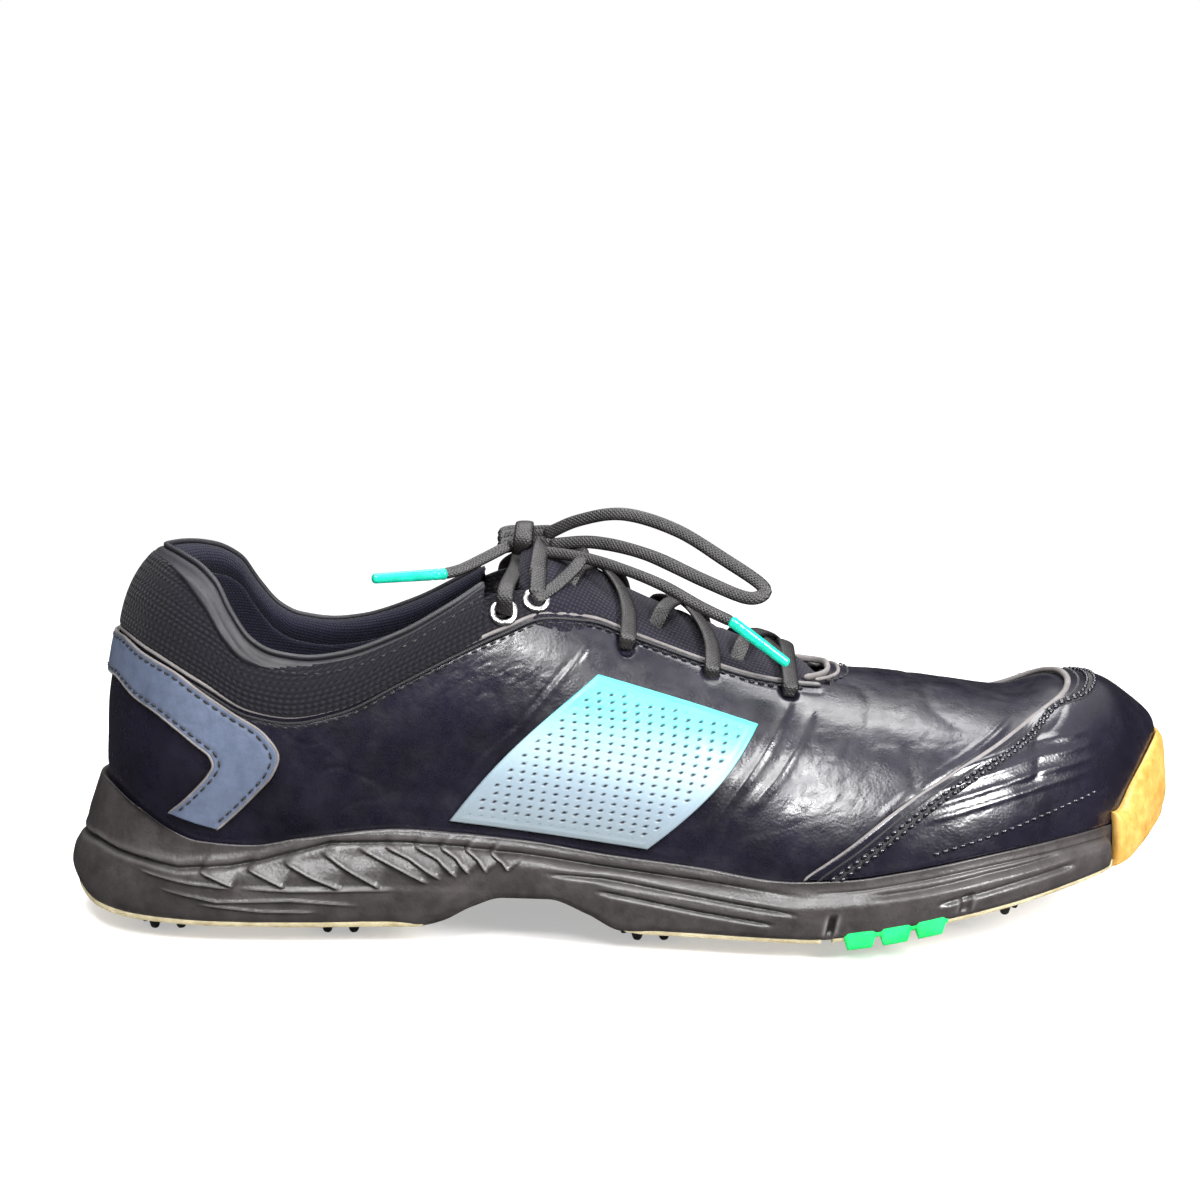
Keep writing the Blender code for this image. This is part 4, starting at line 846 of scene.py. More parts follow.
class Look(Nodes):
    """A node material in the making."""

    def __init__(self, name):
        self.made = bpy.data.materials.new(name)
        self.made.use_nodes = True
        super().__init__(self.made.node_tree)
        self.shader = self.tree.nodes["Principled BSDF"]

    def place(self, kind="Object"):
        """Texture coordinates in millimetres."""
        unit_size = 1000.0 if kind == "Object" else 10.0
        where = self.node("TexCoord").outputs[kind]
        return self.node("Mapping", i0=where, i3=(unit_size,) * 3).outputs[0]

    def noise(self, size, detail=4.0, rough=0.55):
        return self.node(
            "TexNoise", Vector=self.place(), Scale=1 / size, Detail=detail, Roughness=rough, Distortion=0.0
        ).outputs[0]

    def cells(self, size, feature="F1"):
        made = self.node("TexVoronoi", {"feature": feature}, Vector=self.place(), Scale=1 / size)
        return made.outputs["Distance"]

    def wave(self, period, place, direction="X", distort=0.0):
        scale = math.pi / 10 / period
        made = self.node(
            "TexWave", {"bands_direction": direction}, Vector=place, Scale=scale, Distortion=distort
        )
        return made.outputs[1]

    def mix(self, factor, a, b, blend="MIX"):
        made = self.node("Mix", {"data_type": "RGBA", "blend_type": blend}, i0=factor, i6=a, i7=b)
        return made.outputs[2]

    def math(self, operation, a, b=0.0, clamp=False):
        return self.node("Math", {"operation": operation, "use_clamp": clamp}, i0=a, i1=b).outputs[0]

    def mark(self, name):
        return self.node("Attribute", {"attribute_name": name}).outputs["Fac"]

    def bump(self, height, depth, strength=1.0, under=None):
        made = self.node("Bump", Height=height, Distance=depth * MM, Strength=strength)
        if under is not None:
            self.set(made.inputs["Normal"], under)
        return made.outputs[0]

    def finish(self, **inputs):
        for key, value in inputs.items():
            self.set(self.shader.inputs[key.replace("_", " ")], value)
        return self.made


def leather_look(name, deep, pale, rough=(0.2, 0.42), coat=0.25):
    look = Look(name)
    tone = look.ramp(look.noise(26, 5, 0.6), (0.3, deep), (0.75, pale))
    blotch = look.ramp(look.noise(3.2, 6, 0.7), (0.35, (0.82, 0.82, 0.84)), (0.7, (1.12, 1.1, 1.14)))
    color = look.mix(1.0, tone, blotch, "MULTIPLY")
    bump = look.bump(look.cells(0.75, "SMOOTH_F1"), 0.09, 0.5)
    bump = look.bump(look.noise(0.5, 6, 0.6), 0.05, 0.5, bump)
    bump = look.bump(look.noise(5.5, 3, 0.5), 0.2, 0.25, bump)
    roughness = look.ramp(look.noise(7, 5, 0.65), (0.3, rough[0]), (0.7, rough[1]))
    return look.finish(
        Base_Color=color, Roughness=roughness, Normal=bump, Coat_Weight=coat, Coat_Roughness=0.22,
        Specular_IOR_Level=0.55,
    )  # fmt: skip


def knit_look(name, dark, light, row=1.5, stitch=1.9):
    """Rows of short slots in a textile."""
    look = Look(name)
    where = look.place(kind="UV")
    across = look.wave(stitch, where, "X", 0.6)
    rows = look.wave(row, where, "Y", 0.3)
    cell = look.math("MULTIPLY", across, rows)
    fuzz = look.noise(0.25, 5, 0.7)
    height = look.math("ADD", cell, look.math("MULTIPLY", fuzz, 0.5))
    # The colour follows the same height as the bump, darker in the slots and between the rows: painted shade
    # in the knit's hollows.
    color = look.mix(look.ramp(height, (0.25, 0.0), (0.95, 1.0)), dark, light)
    bump = look.bump(cell, 0.35, 0.8)
    bump = look.bump(fuzz, 0.12, 0.6, bump)
    return look.finish(Base_Color=color, Roughness=0.92, Normal=bump, Sheen_Weight=0.04, Sheen_Roughness=0.5,
                       Specular_IOR_Level=0.25)


def woven_look(name, dark, light, pitch=0.75, rough=0.7, sheen=0.12):
    """A tight diagonal weave along a strap."""
    look = Look(name)
    where = look.place(kind="UV")
    turned = look.node("Mapping", i0=where, i2=(0, 0, math.radians(45))).outputs[0]
    one, two = look.wave(pitch, turned, "X"), look.wave(pitch, turned, "Y")
    weave = look.math("MAXIMUM", one, two)
    fuzz = look.noise(0.3, 5, 0.7)
    wear = look.noise(6, 4, 0.6)
    tone = look.mix(look.ramp(wear, (0.35, 0.0), (0.7, 1.0)), dark, light)
    # The weave's gaps are mixed towards black: painted shade between the threads.
    painted_gap_shade = look.ramp(look.math("MULTIPLY", weave, fuzz), (0.1, 0.35), (0.5, 1.0))
    color = look.mix(painted_gap_shade, (0.0, 0.0, 0.0), tone)
    bump = look.bump(weave, 0.12, 0.7)
    bump = look.bump(fuzz, 0.06, 0.6, bump)
    look.finish(Base_Color=color, Roughness=rough, Normal=bump)
    return look.finish(Sheen_Weight=sheen, Sheen_Roughness=0.4)


def rubber_look(name, dark, light, rough=(0.35, 0.55), glow=0.0, grain=0.6, spots=9.0, depth=0.1, worn=None):
    look = Look(name)
    color = look.mix(look.ramp(look.noise(spots, 6, 0.65), (0.32, 0.0), (0.7, 1.0)), dark, light)
    # With a ridge mark the colour goes towards the one given as worn on raised moulded lines, and towards
    # near black in the hollows: the near-black hollows are painted shade.
    if worn:
        color = look.mix(look.math("MULTIPLY", look.mark("ridge"), 1.0, True), color, worn)
        color = look.mix(look.math("MULTIPLY", look.mark("ridge"), -1.0, True), color, (0.002, 0.002, 0.002))
    dirt = look.ramp(look.noise(2.2, 6, 0.75), (0.3, (0.78, 0.77, 0.76)), (0.6, (1.05, 1.05, 1.05)))
    color = look.mix(1.0, color, dirt, "MULTIPLY")
    bump = look.bump(look.cells(grain), depth, 0.45)
    bump = look.bump(look.noise(1.6, 5, 0.6), 0.12, 0.5, bump)
    roughness = look.ramp(look.noise(5, 5, 0.6), (0.3, rough[0]), (0.7, rough[1]))
    look.finish(Base_Color=color, Roughness=roughness, Normal=bump)
    if glow:
        look.finish(Subsurface_Weight=glow, Subsurface_Radius=(0.004, 0.003, 0.0012), Subsurface_Scale=1.0)
    return look.made


def metal_look(name):
    look = Look(name)
    wear = look.noise(1.2, 6, 0.7)
    color = look.ramp(wear, (0.36, (0.12, 0.115, 0.11)), (0.6, (0.72, 0.72, 0.72)))
    bump = look.bump(look.noise(0.5, 5, 0.6), 0.1, 0.6)
    roughness = look.ramp(wear, (0.3, 0.5), (0.7, 0.16))
    return look.finish(Base_Color=color, Roughness=roughness, Metallic=1.0, Normal=bump)


def panel_look():
    """Satin film that fades down the foot from aqua over white to grey-blue."""
    look = Look("panel_film")
    cloud = look.math("MULTIPLY", look.math("SUBTRACT", look.noise(14, 3), 0.5), 0.1)
    share = look.math("ADD", look.mark("up"), cloud)
    color = look.ramp(
        share, (0.0, (0.13, 0.16, 0.178)), (1.0, (0.05, 0.38, 0.40)), (0.3, (0.16, 0.21, 0.25)),
        (0.55, (0.235, 0.325, 0.36)), (0.7, (0.18, 0.37, 0.41)), (0.85, (0.07, 0.36, 0.39)),
    )  # fmt: skip
    color = look.mix(look.mark("pore"), color, (0.01, 0.012, 0.02))
    bump = look.bump(look.noise(0.6, 6, 0.6), 0.06, 0.5)
    bump = look.bump(look.cells(1.1), 0.05, 0.4, bump)
    roughness = look.ramp(look.noise(6, 4), (0.3, 0.32), (0.7, 0.5))
    return look.finish(Base_Color=color, Roughness=roughness, Normal=bump, Coat_Weight=0.12)


LEATHER_LOOK = leather_look("black_leather", (0.0025, 0.0022, 0.005), (0.0085, 0.0073, 0.0155))
TOE_LOOK = leather_look("toe_leather", (0.003, 0.0027, 0.0055), (0.0095, 0.0083, 0.016), (0.16, 0.34), 0.4)
OVERLAY_LOOK = leather_look("grey_blue_leather", (0.05, 0.068, 0.108), (0.074, 0.096, 0.145),
                            (0.42, 0.6), 0.05)  # fmt: skip
RAW_LOOK = leather_look("raw_edge", (0.065, 0.058, 0.055), (0.19, 0.178, 0.17), rough=(0.5, 0.7), coat=0.0)
THREAD_LOOK = woven_look("stitch_thread", (0.002, 0.002, 0.003), (0.008, 0.0075, 0.01), pitch=0.5, rough=0.6)
KNIT_LOOK = knit_look("collar_knit", (0.0025, 0.0023, 0.004), (0.009, 0.008, 0.0135))
BAND_LOOK = leather_look("collar_band", (0.003, 0.0028, 0.0045), (0.009, 0.0082, 0.013), (0.52, 0.68), 0.0)
LINING_LOOK = knit_look("navy_lining", (0.002, 0.002, 0.008), (0.006, 0.006, 0.02), row=0.9, stitch=0.9)
TONGUE_LOOK = knit_look("tongue_textile", (0.003, 0.0026, 0.006), (0.014, 0.012, 0.024), row=1.1, stitch=1.3)
LACE_LOOK = woven_look("lace_weave", (0.004, 0.0033, 0.0035), (0.015, 0.012, 0.012), rough=0.46, sheen=0.0)
AGLET_LOOK = rubber_look("teal_plastic", (0.0, 0.30, 0.20), (0.01, 0.44, 0.31), (0.15, 0.3), depth=0.02)
METAL_LOOK = metal_look("eyelet_metal")
PANEL_LOOK = panel_look()
# The colour given as worn tints the raised moulded lines lighter; the hollows between them go near black as
# painted shade.
SOLE_LOOK = rubber_look("dark_foam", (0.019, 0.016, 0.016), (0.040, 0.035, 0.0355), (0.3, 0.46), grain=0.9,
                        worn=(0.14, 0.132, 0.13))  # fmt: skip
AMBER_LOOK = rubber_look("amber_rubber", (0.34, 0.175, 0.028), (0.5, 0.31, 0.08), (0.3, 0.5), 0.25, spots=5)
CREAM_LOOK = rubber_look("cream_rubber", (0.30, 0.25, 0.14), (0.50, 0.46, 0.31), rough=(0.35, 0.5), glow=0.2)
GREEN_LOOK = rubber_look("green_rubber", (0.0, 0.42, 0.08), (0.01, 0.62, 0.14), rough=(0.25, 0.42), glow=0.1)
CLEAT_LOOK = rubber_look("black_plastic", (0.006, 0.006, 0.007), (0.018, 0.018, 0.02), (0.25, 0.45),
                         depth=0.04)  # fmt: skip
BOARD_LOOK = woven_look("stiff_board", (0.30, 0.27, 0.22), (0.46, 0.42, 0.35), 1.2, rough=0.85, sheen=0.0)
FOAM_LOOK = rubber_look("open_foam", (0.4, 0.38, 0.32), (0.56, 0.53, 0.46), (0.8, 0.95), grain=1.4, depth=0.4)
SOCK_LOOK = knit_look("sockliner_textile", (0.004, 0.004, 0.010), (0.016, 0.016, 0.03), row=1.0, stitch=1.0)


# ---------------------------------------------------------------- the upper


def bake(obj):
    """Puts what the modifiers make into the object's own mesh."""
    bpy.context.view_layer.update()
    mesh = bpy.data.meshes.new_from_object(obj.evaluated_get(bpy.context.evaluated_depsgraph_get()))
    obj.modifiers.clear()
    obj.data = mesh
    return obj


def thicken(obj, thickness, rim_look=0):
    """Makes a closed body of an open sheet, inwards from it."""
    change = obj.modifiers.new("thickness", "SOLIDIFY")
    change.thickness = thickness * MM
    change.offset = -1
    change.use_rim = True
    change.material_offset_rim = rim_look
    return bake(obj)


def open_sheet(name, grids, looks, uvs=None, marks=None):
    """An open sheet of several grids whose shared edges are welded. Faces point away from the foot."""
    points, faces, uv, total = [], [], [], 0
    for k, grid in enumerate(grids):
        rows, columns = grid.shape[:2]
        faces.append(quads(rows, columns, start=total))
        points.append(grid.reshape(-1, 3))
        uv.append((uvs[k] if uvs else arc_uv(grid)).reshape(-1, 2))
        total += rows * columns
    made = build(name, np.vstack(points), np.vstack(faces), looks, uv=np.vstack(uv), marks=marks)
    mesh = made.data
    spots = np.empty(len(mesh.polygons) * 3)
    turns = np.empty(len(mesh.polygons) * 3)
    mesh.polygons.foreach_get("center", spots)
    mesh.polygons.foreach_get("normal", turns)
    spots = spots.reshape(-1, 3) - put((120.0, 0.0, 40.0))
    if (spots * turns.reshape(-1, 3)).sum() < 0:
        mesh.flip_normals()
    return made


def upper_grids(top_edge, depth_of, columns, rows, front, across, low=0.0, relief=None):
    """Two grids that cover the foot: the sides from the heel to a slanted line, and the front from there."""
    foot, throat = station_of(SEAM_FOOT_X), station_of(THROAT_X)
    c = np.linspace(-1, 1, columns)
    top = np.array([crossing(k * throat, top_edge) for k in c])
    v = np.linspace(0, 1, rows)[:, None]
    w = c * (foot + (throat - foot) * v)
    t = low + (top - low) * v
    base = around(w, t)
    depth = depth_of(base)
    if relief:
        depth = depth + relief(base)
    sides = base + normal_at(w, t) * depth[..., None]
    reach = (1 - t[:, 0], 1 - t[:, -1])
    top_line = np.linspace(-reach[0][-1], reach[1][-1], across + 2)[1:-1]
    a = np.concatenate([-reach[0], top_line, reach[1][::-1]])
    start = np.concatenate([np.abs(w[:, 0]), np.full(across, throat), np.abs(w[::-1, -1])])
    s = np.linspace(0, 1, front)[:, None]
    u = start + (TOE_END - start) * s
    a = np.broadcast_to(a, u.shape)
    base = over(u, a)
    depth = depth_of(base)
    if relief:
        depth = depth + relief(base)
    toe = base + over_normal(u, a) * depth[..., None]
    toe[0, :rows], toe[0, -rows:] = sides[:, 0], sides[::-1, -1]
    return sides, toe


def panel_mask(x, z):
    """1 where a saddle panel covers the leather."""
    (x0, z0), (x1, z1), (x2, z2), (x3, _) = PANEL
    up = np.clip((z - z0) / (z2 - z0), 0, 1)
    back = x0 + (x2 - x0) * up
    front = x1 + (x3 - x1) * up
    inside = smoothstep(x, back - 1, back + 3) * smoothstep(-x, -front - 1, -front + 3)
    return inside * smoothstep(z, z1 - 1, z1 + 3) * smoothstep(-z, -z2 - 1, -z2 + 3)


def upper_leather():
    def relief(p):
        return leather_relief(p) * (1 - 0.85 * panel_mask(p[..., 0], p[..., 2]))

    def no_depth(p):
        return np.zeros(p.shape[:-1])

    grids = upper_grids(leather_top, no_depth, columns=540, rows=84, front=170, across=44, relief=relief)
    made = open_sheet("upper_leather", grids, [LEATHER_LOOK, RAW_LOOK])
    thicken(made, LEATHER, 1)
    bend(made, UPPER_BEND, "leather", "quarter_lateral", "quarter_medial", "vamp")


def upper_lining():
    def depth(p):
        toe = PUFF_ROOM * smoothstep(p[..., 0], 248, 258)
        return -(lining_depth(p) + toe + 0.3) + 0.12 * noise(p, 14, 7)

    grids = upper_grids(lining_top, depth, columns=300, rows=50, front=70, across=24, low=0.01)
    made = open_sheet("upper_lining", grids, [LINING_LOOK])
    thicken(made, LINING)
    bend(made, UPPER_BEND, "lining", "quarter_lining", "vamp_lining")


def edge_places(edge, start, end, side, lower=0.0, count=90):
    """Places along an edge of the upper, some millimetres under it."""
    found = []
    for u in np.linspace(station_of(start) if start else 0.0, station_of(end), count):
        t = crossing(side * u, edge)
        found.append((side * u, t - lower / float(rib_scale(side * u, t - JUST_UNDER))))
    return found


def both_sides(edge, end, lower=0.0):
    """The same from the throat on one side around the heel to the other."""
    return edge_places(edge, 0, end, -1, lower)[::-1] + edge_places(edge, 0, end, 1, lower)[1:]


def throat_front(lower, depth, count=40):
    """The front end of the throat, as a path from one side's edge to the other's."""
    u = station_of(THROAT_X) + lower / STATION_LENGTH
    reach = [1 - leather_edge(s * u) + lower / float(rib_scale(s * u, 0.85)) for s in (-1, 1)]
    a = np.linspace(-reach[0], reach[1], count)
    turn = np.linspace(0, math.pi, count)
    u = u - 0.022 * (1 - np.sin(turn)) ** 2
    return over(u, a, depth), over_normal(u, a)


def leather_edges():
    runs, dark, thread = [], [], []
    for lower, width, height in ((0.0, 1.15, 1.5), (1.7, 0.75, 0.5)):
        path, ups = surface_path(both_sides(leather_top, 203, lower), -0.45 if lower == 0 else 0.2)
        (runs if lower == 0 else dark).append(bead(path, ups, width, height))
        path, ups = throat_front(lower, 0.1)
        path = even(path, 0.7)
        ups = even(ups, 1, len(path))
        runs.append(bead(path, ups, width + 0.3, height + 0.4))
    bend(sweeps("leather_edge", runs, [RAW_LOOK], sides=10), UPPER_BEND, "leather")
    bend(sweeps("leather_edge_fold", dark, [THREAD_LOOK], sides=10), UPPER_BEND, "leather")
    for side in (-1, 1):
        thread.append(surface_path(edge_places(leather_top, 12, 200, side, 2.9), 0.05))
    path, ups = throat_front(3.2, 0.12)
    thread.append((even(path, 0.7), even(ups, 1, len(even(path, 0.7)))))
    made = stitches("leather_stitching", thread, THREAD_LOOK, length=1.7, gap=1.0, radius=0.27)
    bend(made, UPPER_BEND, "leather")


def chevron_edges():
    edges = []
    for line, back in ((CHEVRON_OUTER, CHEVRON_BACK[0]), (CHEVRON_INNER, CHEVRON_BACK[1])):
        halves = {side: [locate(side, x, z) for x, z in line] for side in (-1, 1)}
        middle = [(w, height_at(w, back)) for w in (-0.05, -0.025, 0.0, 0.025, 0.05)]
        edges.append(np.array(halves[-1][::-1] + middle + halves[1]))
    knots = np.linspace(-1, 1, len(edges[0]))
    return [smooth_function(list(zip(knots, edge))) for edge in edges]


def heel_overlay():
    outer, inner = chevron_edges()
    c = np.linspace(-1, 1, 420)
    v = np.linspace(0, 1, 30)[:, None, None]
    spots = inner(c) * (1 - v) + outer(c) * v
    w, t = spots[..., 0], spots[..., 1]
    base, normal = around(w, t), normal_at(w, t)
    relief = overlay_relief(base)
    for line in (0.11, 0.89):
        relief -= 0.22 * hump(v[..., 0] - line, 0.035)
    high = base + normal * (1.35 + relief)[..., None]
    low = base + normal * 0.1
    made = sheet("heel_overlay_band", high, low, [OVERLAY_LOOK, RAW_LOOK], edge_look=1)
    ride(made, "shoe", "overlay", "heel_overlay")
    thread, raw = [], []
    for share in (0.11, 0.89):
        line = inner(c) * (1 - share) + outer(c) * share
        thread.append(surface_path(line[6:-6:3], 1.3))
    for share in (0.005, 0.995):
        line = inner(c) * (1 - share) + outer(c) * share
        raw.append(bead(*surface_path(line[::4], 1.0), 0.75, 0.8))
    ride(stitches("heel_stitching", thread, THREAD_LOOK, length=1.9, gap=0.9, radius=0.3), "shoe", "overlay")
    ride(sweeps("heel_overlay_edge", raw, [RAW_LOOK], sides=10), "shoe", "overlay")


def saddle_panel(side, word):
    rows, columns = 140, 150
    coarse_rows, coarse_columns = 15, 13
    coarse_v, coarse_c = np.linspace(0, 1, coarse_rows), np.linspace(0, 1, coarse_columns)
    corners = [np.array(p, float) for p in PANEL]
    table = np.zeros((coarse_rows, coarse_columns, 2))
    for i, up in enumerate(coarse_v):
        for j, along in enumerate(coarse_c):
            low = corners[0] + (corners[1] - corners[0]) * along
            high = corners[2] + (corners[3] - corners[2]) * along
            x, z = low + (high - low) * up
            table[i, j] = locate(side, x + 3.0 * math.sin(math.pi * up) * (2 * along - 1), z)
    v, c = np.linspace(0, 1, rows), np.linspace(0, 1, columns)
    by_row = smooth_function(list(zip(coarse_v, table.reshape(coarse_rows, -1))))(v)
    by_row = by_row.reshape(rows, coarse_columns, 2).transpose(1, 0, 2)
    by_column = smooth_function(list(zip(coarse_c, by_row.reshape(coarse_columns, -1))))
    spots = by_column(c).reshape(columns, rows, 2).transpose(1, 0, 2)
    w, t = spots[..., 0], spots[..., 1]
    base, normal = around(w, t), normal_at(w, t)
    uv = arc_uv(base)
    row_of = np.round(uv[..., 1] / PORE_ROW)
    shift = (row_of % 2) * PORE_PITCH / 2
    near_x = (uv[..., 0] + shift) / PORE_PITCH
    dx = (near_x - np.round(near_x)) * PORE_PITCH
    dy = uv[..., 1] - row_of * PORE_ROW
    distance = np.hypot(dx, dy)
    edge = np.minimum(np.minimum(v, 1 - v)[:, None] * PANEL_HEIGHT, np.minimum(c, 1 - c) * PANEL_WIDTH)
    inside = smoothstep(edge, 2.6, 3.2)
    pore = smoothstep(-distance, -0.62, -0.38) * inside
    relief = 0.12 * noise(base, 9, 95) - 0.5 * pore + 0.14 * hump(edge - 1.5, 0.5)
    high = base + normal * (1.05 + relief)[..., None]
    low = base + normal * 0.15
    name = "saddle_panel_" + word
    marks = {"pore": pore, "up": v[:, None] + 0 * pore}
    made = sheet(name, high, low, [PANEL_LOOK, THREAD_LOOK], edge_look=1, marks=marks, round_edge=0.5)
    bend(made, UPPER_BEND, "panel", "side_panel_" + word)


def toe_spots(columns, rows):
    """Places (u, a) on the toe overlay: across it, and from its edge to the toe's tip."""
    stations = np.linspace(station_of(188), TOE_END, 260)
    share = np.linspace(-1, 1, columns)
    reach = {}
    for side in (-1, 1):
        spots = np.linspace(stations[0], stations[-1], 24)
        heights = [float(rim_top(skin(side, u, 0.0)[0])) + 0.1 for u in spots]
        reach[side] = np.interp(stations, spots, [1 - height_at(side * u, z) for u, z in zip(spots, heights)])
    start = []
    for across in share:
        line = over(stations, across * reach[-1 if across < 0 else 1])
        above = line[:, 2] - toe_seam(line[:, 0])
        found = np.nonzero((above[:-1] >= 0) & (above[1:] < 0))[0]
        if above[0] < 0:
            start.append(stations[0])
        elif len(found):
            k = found[0]
            start.append(stations[k] + (stations[k + 1] - stations[k]) * above[k] / (above[k] - above[k + 1]))
        else:
            start.append(stations[-40])
    start = np.array(start)
    window = np.hanning(9)
    padded = np.concatenate([np.full(4, start[0]), start, np.full(4, start[-1])])
    start = np.convolve(padded, window / window.sum(), "valid")
    v = np.linspace(0, 1, rows)[:, None]
    u = start + (TOE_END - start) * v
    sides = [np.interp(u, stations, reach[s]) for s in (-1, 1)]
    return u, share * np.where(share < 0, sides[0], sides[1])


def toe_cap():
    u, a = toe_spots(190, 130)
    base, normal = over(u, a), over_normal(u, a)
    x, z = base[..., 0], base[..., 2]
    relief = overlay_relief(base) + 0.25 * noise(base, (22, 26, 18), 97)
    for line in FINE_LINES:
        relief += welt(x, z, line, 0.55, 0.32)
    relief -= 0.3 * smoothstep(x, 240, 256) * creases(base, (9, 22, 16), 99, 0.2) * smoothstep(-x, -276, -262)
    high = base + normal * (1.6 + relief)[..., None]
    made = sheet("toe_overlay_cap", high, base + normal * 0.15, [TOE_LOOK, RAW_LOOK], edge_look=1)
    bend(made, UPPER_BEND, "leather", "toe_overlay")
    length = (TOE_END - u[0]) * STATION_LENGTH

    def inside(margin, depth):
        line = u[0] + (TOE_END - u[0]) * margin / length
        path, ups = over(line, a[0], depth), over_normal(line, a[0])
        fine = even(path, 0.7)
        return fine, even(ups, 1, len(fine))

    path, ups = inside(0.2, 1.2)
    high_part = smoothstep(path[:, 2], 38, 66)
    raw = [bead(path, ups, 0.8 + 1.0 * high_part, 0.9 + 0.6 * high_part)]
    bend(sweeps("toe_overlay_edge", raw, [RAW_LOOK], sides=10), UPPER_BEND, "leather")
    low = [bead(*inside(margin, 1.5), wide, 0.6) for margin, wide in ((2.1, 0.7), (4.4, 2.6))]
    bend(sweeps("toe_overlay_fold", low, [THREAD_LOOK], sides=10), UPPER_BEND, "leather")
    thread = [inside(margin, 1.9) for margin in (3.7, 5.1)]
    for side in (-1, 1):
        line = smooth_path([(228.5, 0, 27.4), (248, 0, 32.0), (262, 0, 35.4), (276, 0, 38.6)], 6.0)
        thread.append(surface_path([locate(side, x, z) for x, _, z in line], 1.6))
    made = stitches("toe_stitching", thread, TOE_LOOK, length=1.8, gap=0.7, radius=0.52)
    bend(made, UPPER_BEND, "leather")


def collar():
    """Knit collar: a padded wall, a rolled rim and a tail that is tucked behind the lining."""
    w = np.linspace(-station_of(COLLAR_END_X), station_of(COLLAR_END_X), 760)
    knots = np.linspace(w[0], w[-1], 140)
    low = np.interp(w, knots, [leather_edge(k) for k in knots])
    rim = np.interp(w, knots, [crossing(k, collar_top) for k in knots])
    scale = rib_scale(w, rim - JUST_UNDER)
    shrink = 1 - 0.3 * smoothstep(np.abs(w), station_of(100), station_of(COLLAR_END_X))
    levels, depths, walls = [], [], []
    for k in np.linspace(0, 1, 84):
        levels.append((low - 1.6 / scale) + (rim - 3.6 / scale - low + 1.6 / scale) * k)
        tuck = -1.5 * (1 - smoothstep(k, 0, 0.14))
        depths.append(tuck + 1.25 * math.sin(math.pi * min(1, k * 0.95)) ** 0.8)
        walls.append(float(smoothstep(k, 0.02, 0.12) * smoothstep(-k, -1, -0.93)))
    roll = [(-3.6, -0.1), (-1.4, 0.5), (0.1, 2.2), (0.5, 4.0), (0.1, 5.8), (-1.4, 7.4), (-3.6, 7.7),
            (-5.8, 7.4), (-8.0, 7.2)]  # fmt: skip
    for rise, deep in smooth_path(roll, 0.5)[1:]:
        levels.append(rim + rise / scale)
        depths.append(-deep * shrink)
        walls.append(0.0)
    t = np.stack(np.broadcast_arrays(*levels))
    depth = np.stack(np.broadcast_arrays(*[np.broadcast_to(d, w.shape) for d in depths]))
    w = np.broadcast_to(w, t.shape)
    base, normal = around(w, t), normal_at(w, t)
    uv = arc_uv(base + normal * depth[..., None])
    line = np.floor(uv[..., 1] / KNIT_ROW)
    across = (uv[..., 0] / KNIT_COLUMN + 0.5 * (line % 2)) % 1.0
    up = (uv[..., 1] / KNIT_ROW) % 1.0
    slot = smoothstep(-np.abs(across - 0.5), -0.36, -0.26) * smoothstep(-np.abs(up - 0.5), -0.34, -0.16)
    wall = np.array(walls)[:, None]
    band = 1.4 + 6.5 * hump(base[..., 0] - 43, 15)
    smooth_part = smoothstep((t - rim) * scale, -band - 0.5, -band + 0.3)
    depth = depth - 0.24 * slot * wall * (1 - smooth_part) + 0.1 * noise(base, 11, 15)
    depth = depth + 0.75 * smooth_part * wall - 0.5 * hump((t - rim) * scale + band, 0.6) * wall
    looks = [KNIT_LOOK, BAND_LOOK, LINING_LOOK]
    made = open_sheet("collar_knit", [base + normal * depth[..., None]], looks, uvs=[uv])
    centre_share = (smooth_part[1:, 1:] + smooth_part[:-1, :-1]) / 2
    if len(made.data.polygons) == centre_share.size:
        looks = (centre_share > 0.5).astype(np.int32)
        looks[COLLAR_INNER_ROW:] = 2
        made.data.polygons.foreach_set("material_index", looks.ravel())
    thicken(made, 1.0)
    ride(made, "shoe", "knit", "collar_outer")
    path, ups = surface_path(np.column_stack([w[0], rim + 0.2 / scale])[::6], -1.2)
    ride(sweeps("collar_lip", [bead(path, ups, 1.5, 1.5)], [BAND_LOOK], power=2.0), "shoe", "knit")
    thread = [surface_path(np.column_stack([w[0], rim - 4.2 / scale])[::6], 0.35)]
    made = stitches("collar_stitching", thread, THREAD_LOOK, length=1.6, gap=1.4, radius=0.24)
    ride(made, "shoe", "knit")


def eyestay(side, word):
    """Textile strip that carries the eyelets, tucked under the leather's edge."""
    u = np.linspace(station_of(EYESTAY_X[0] - 1.5), station_of(EYESTAY_X[1] + 2), 110)
    edge = np.array([leather_edge(side * k) for k in u])
    scale = rib_scale(side * u, edge - JUST_UNDER)
    x = around(side * u, edge)[:, 0]
    tall = collar_top(x) - leather_top(x) - 1.5
    height = tall + (7.5 - tall) * smoothstep(x, 117, 130)
    height = height * (1 - 0.8 * smoothstep(x, 130, 147))
    v = np.linspace(0, 1, 44)[:, None]
    t = edge + (-3.4 + (height + 3.4) * v) / scale
    w = np.broadcast_to(side * u, t.shape)
    base, normal = around(w, t), normal_at(w, t)
    lift = (t - edge) * scale
    depth = -1.45 * (1 - smoothstep(lift, -0.6, 1.0)) + 0.25
    for row in range(METAL_ROWS):
        centre = around(*HOLES[(side, row)])
        depth = depth - 1.6 * smoothstep(-np.linalg.norm(base - centre, axis=-1), -2.7, -2.0)
    low = base + normal * (depth - LEATHER)[..., None]
    made = sheet("eyestay_strip_" + word, base + normal * depth[..., None], low, [KNIT_LOOK], round_edge=0.35)
    ride(made, "shoe", "knit", "eyestay_" + word)


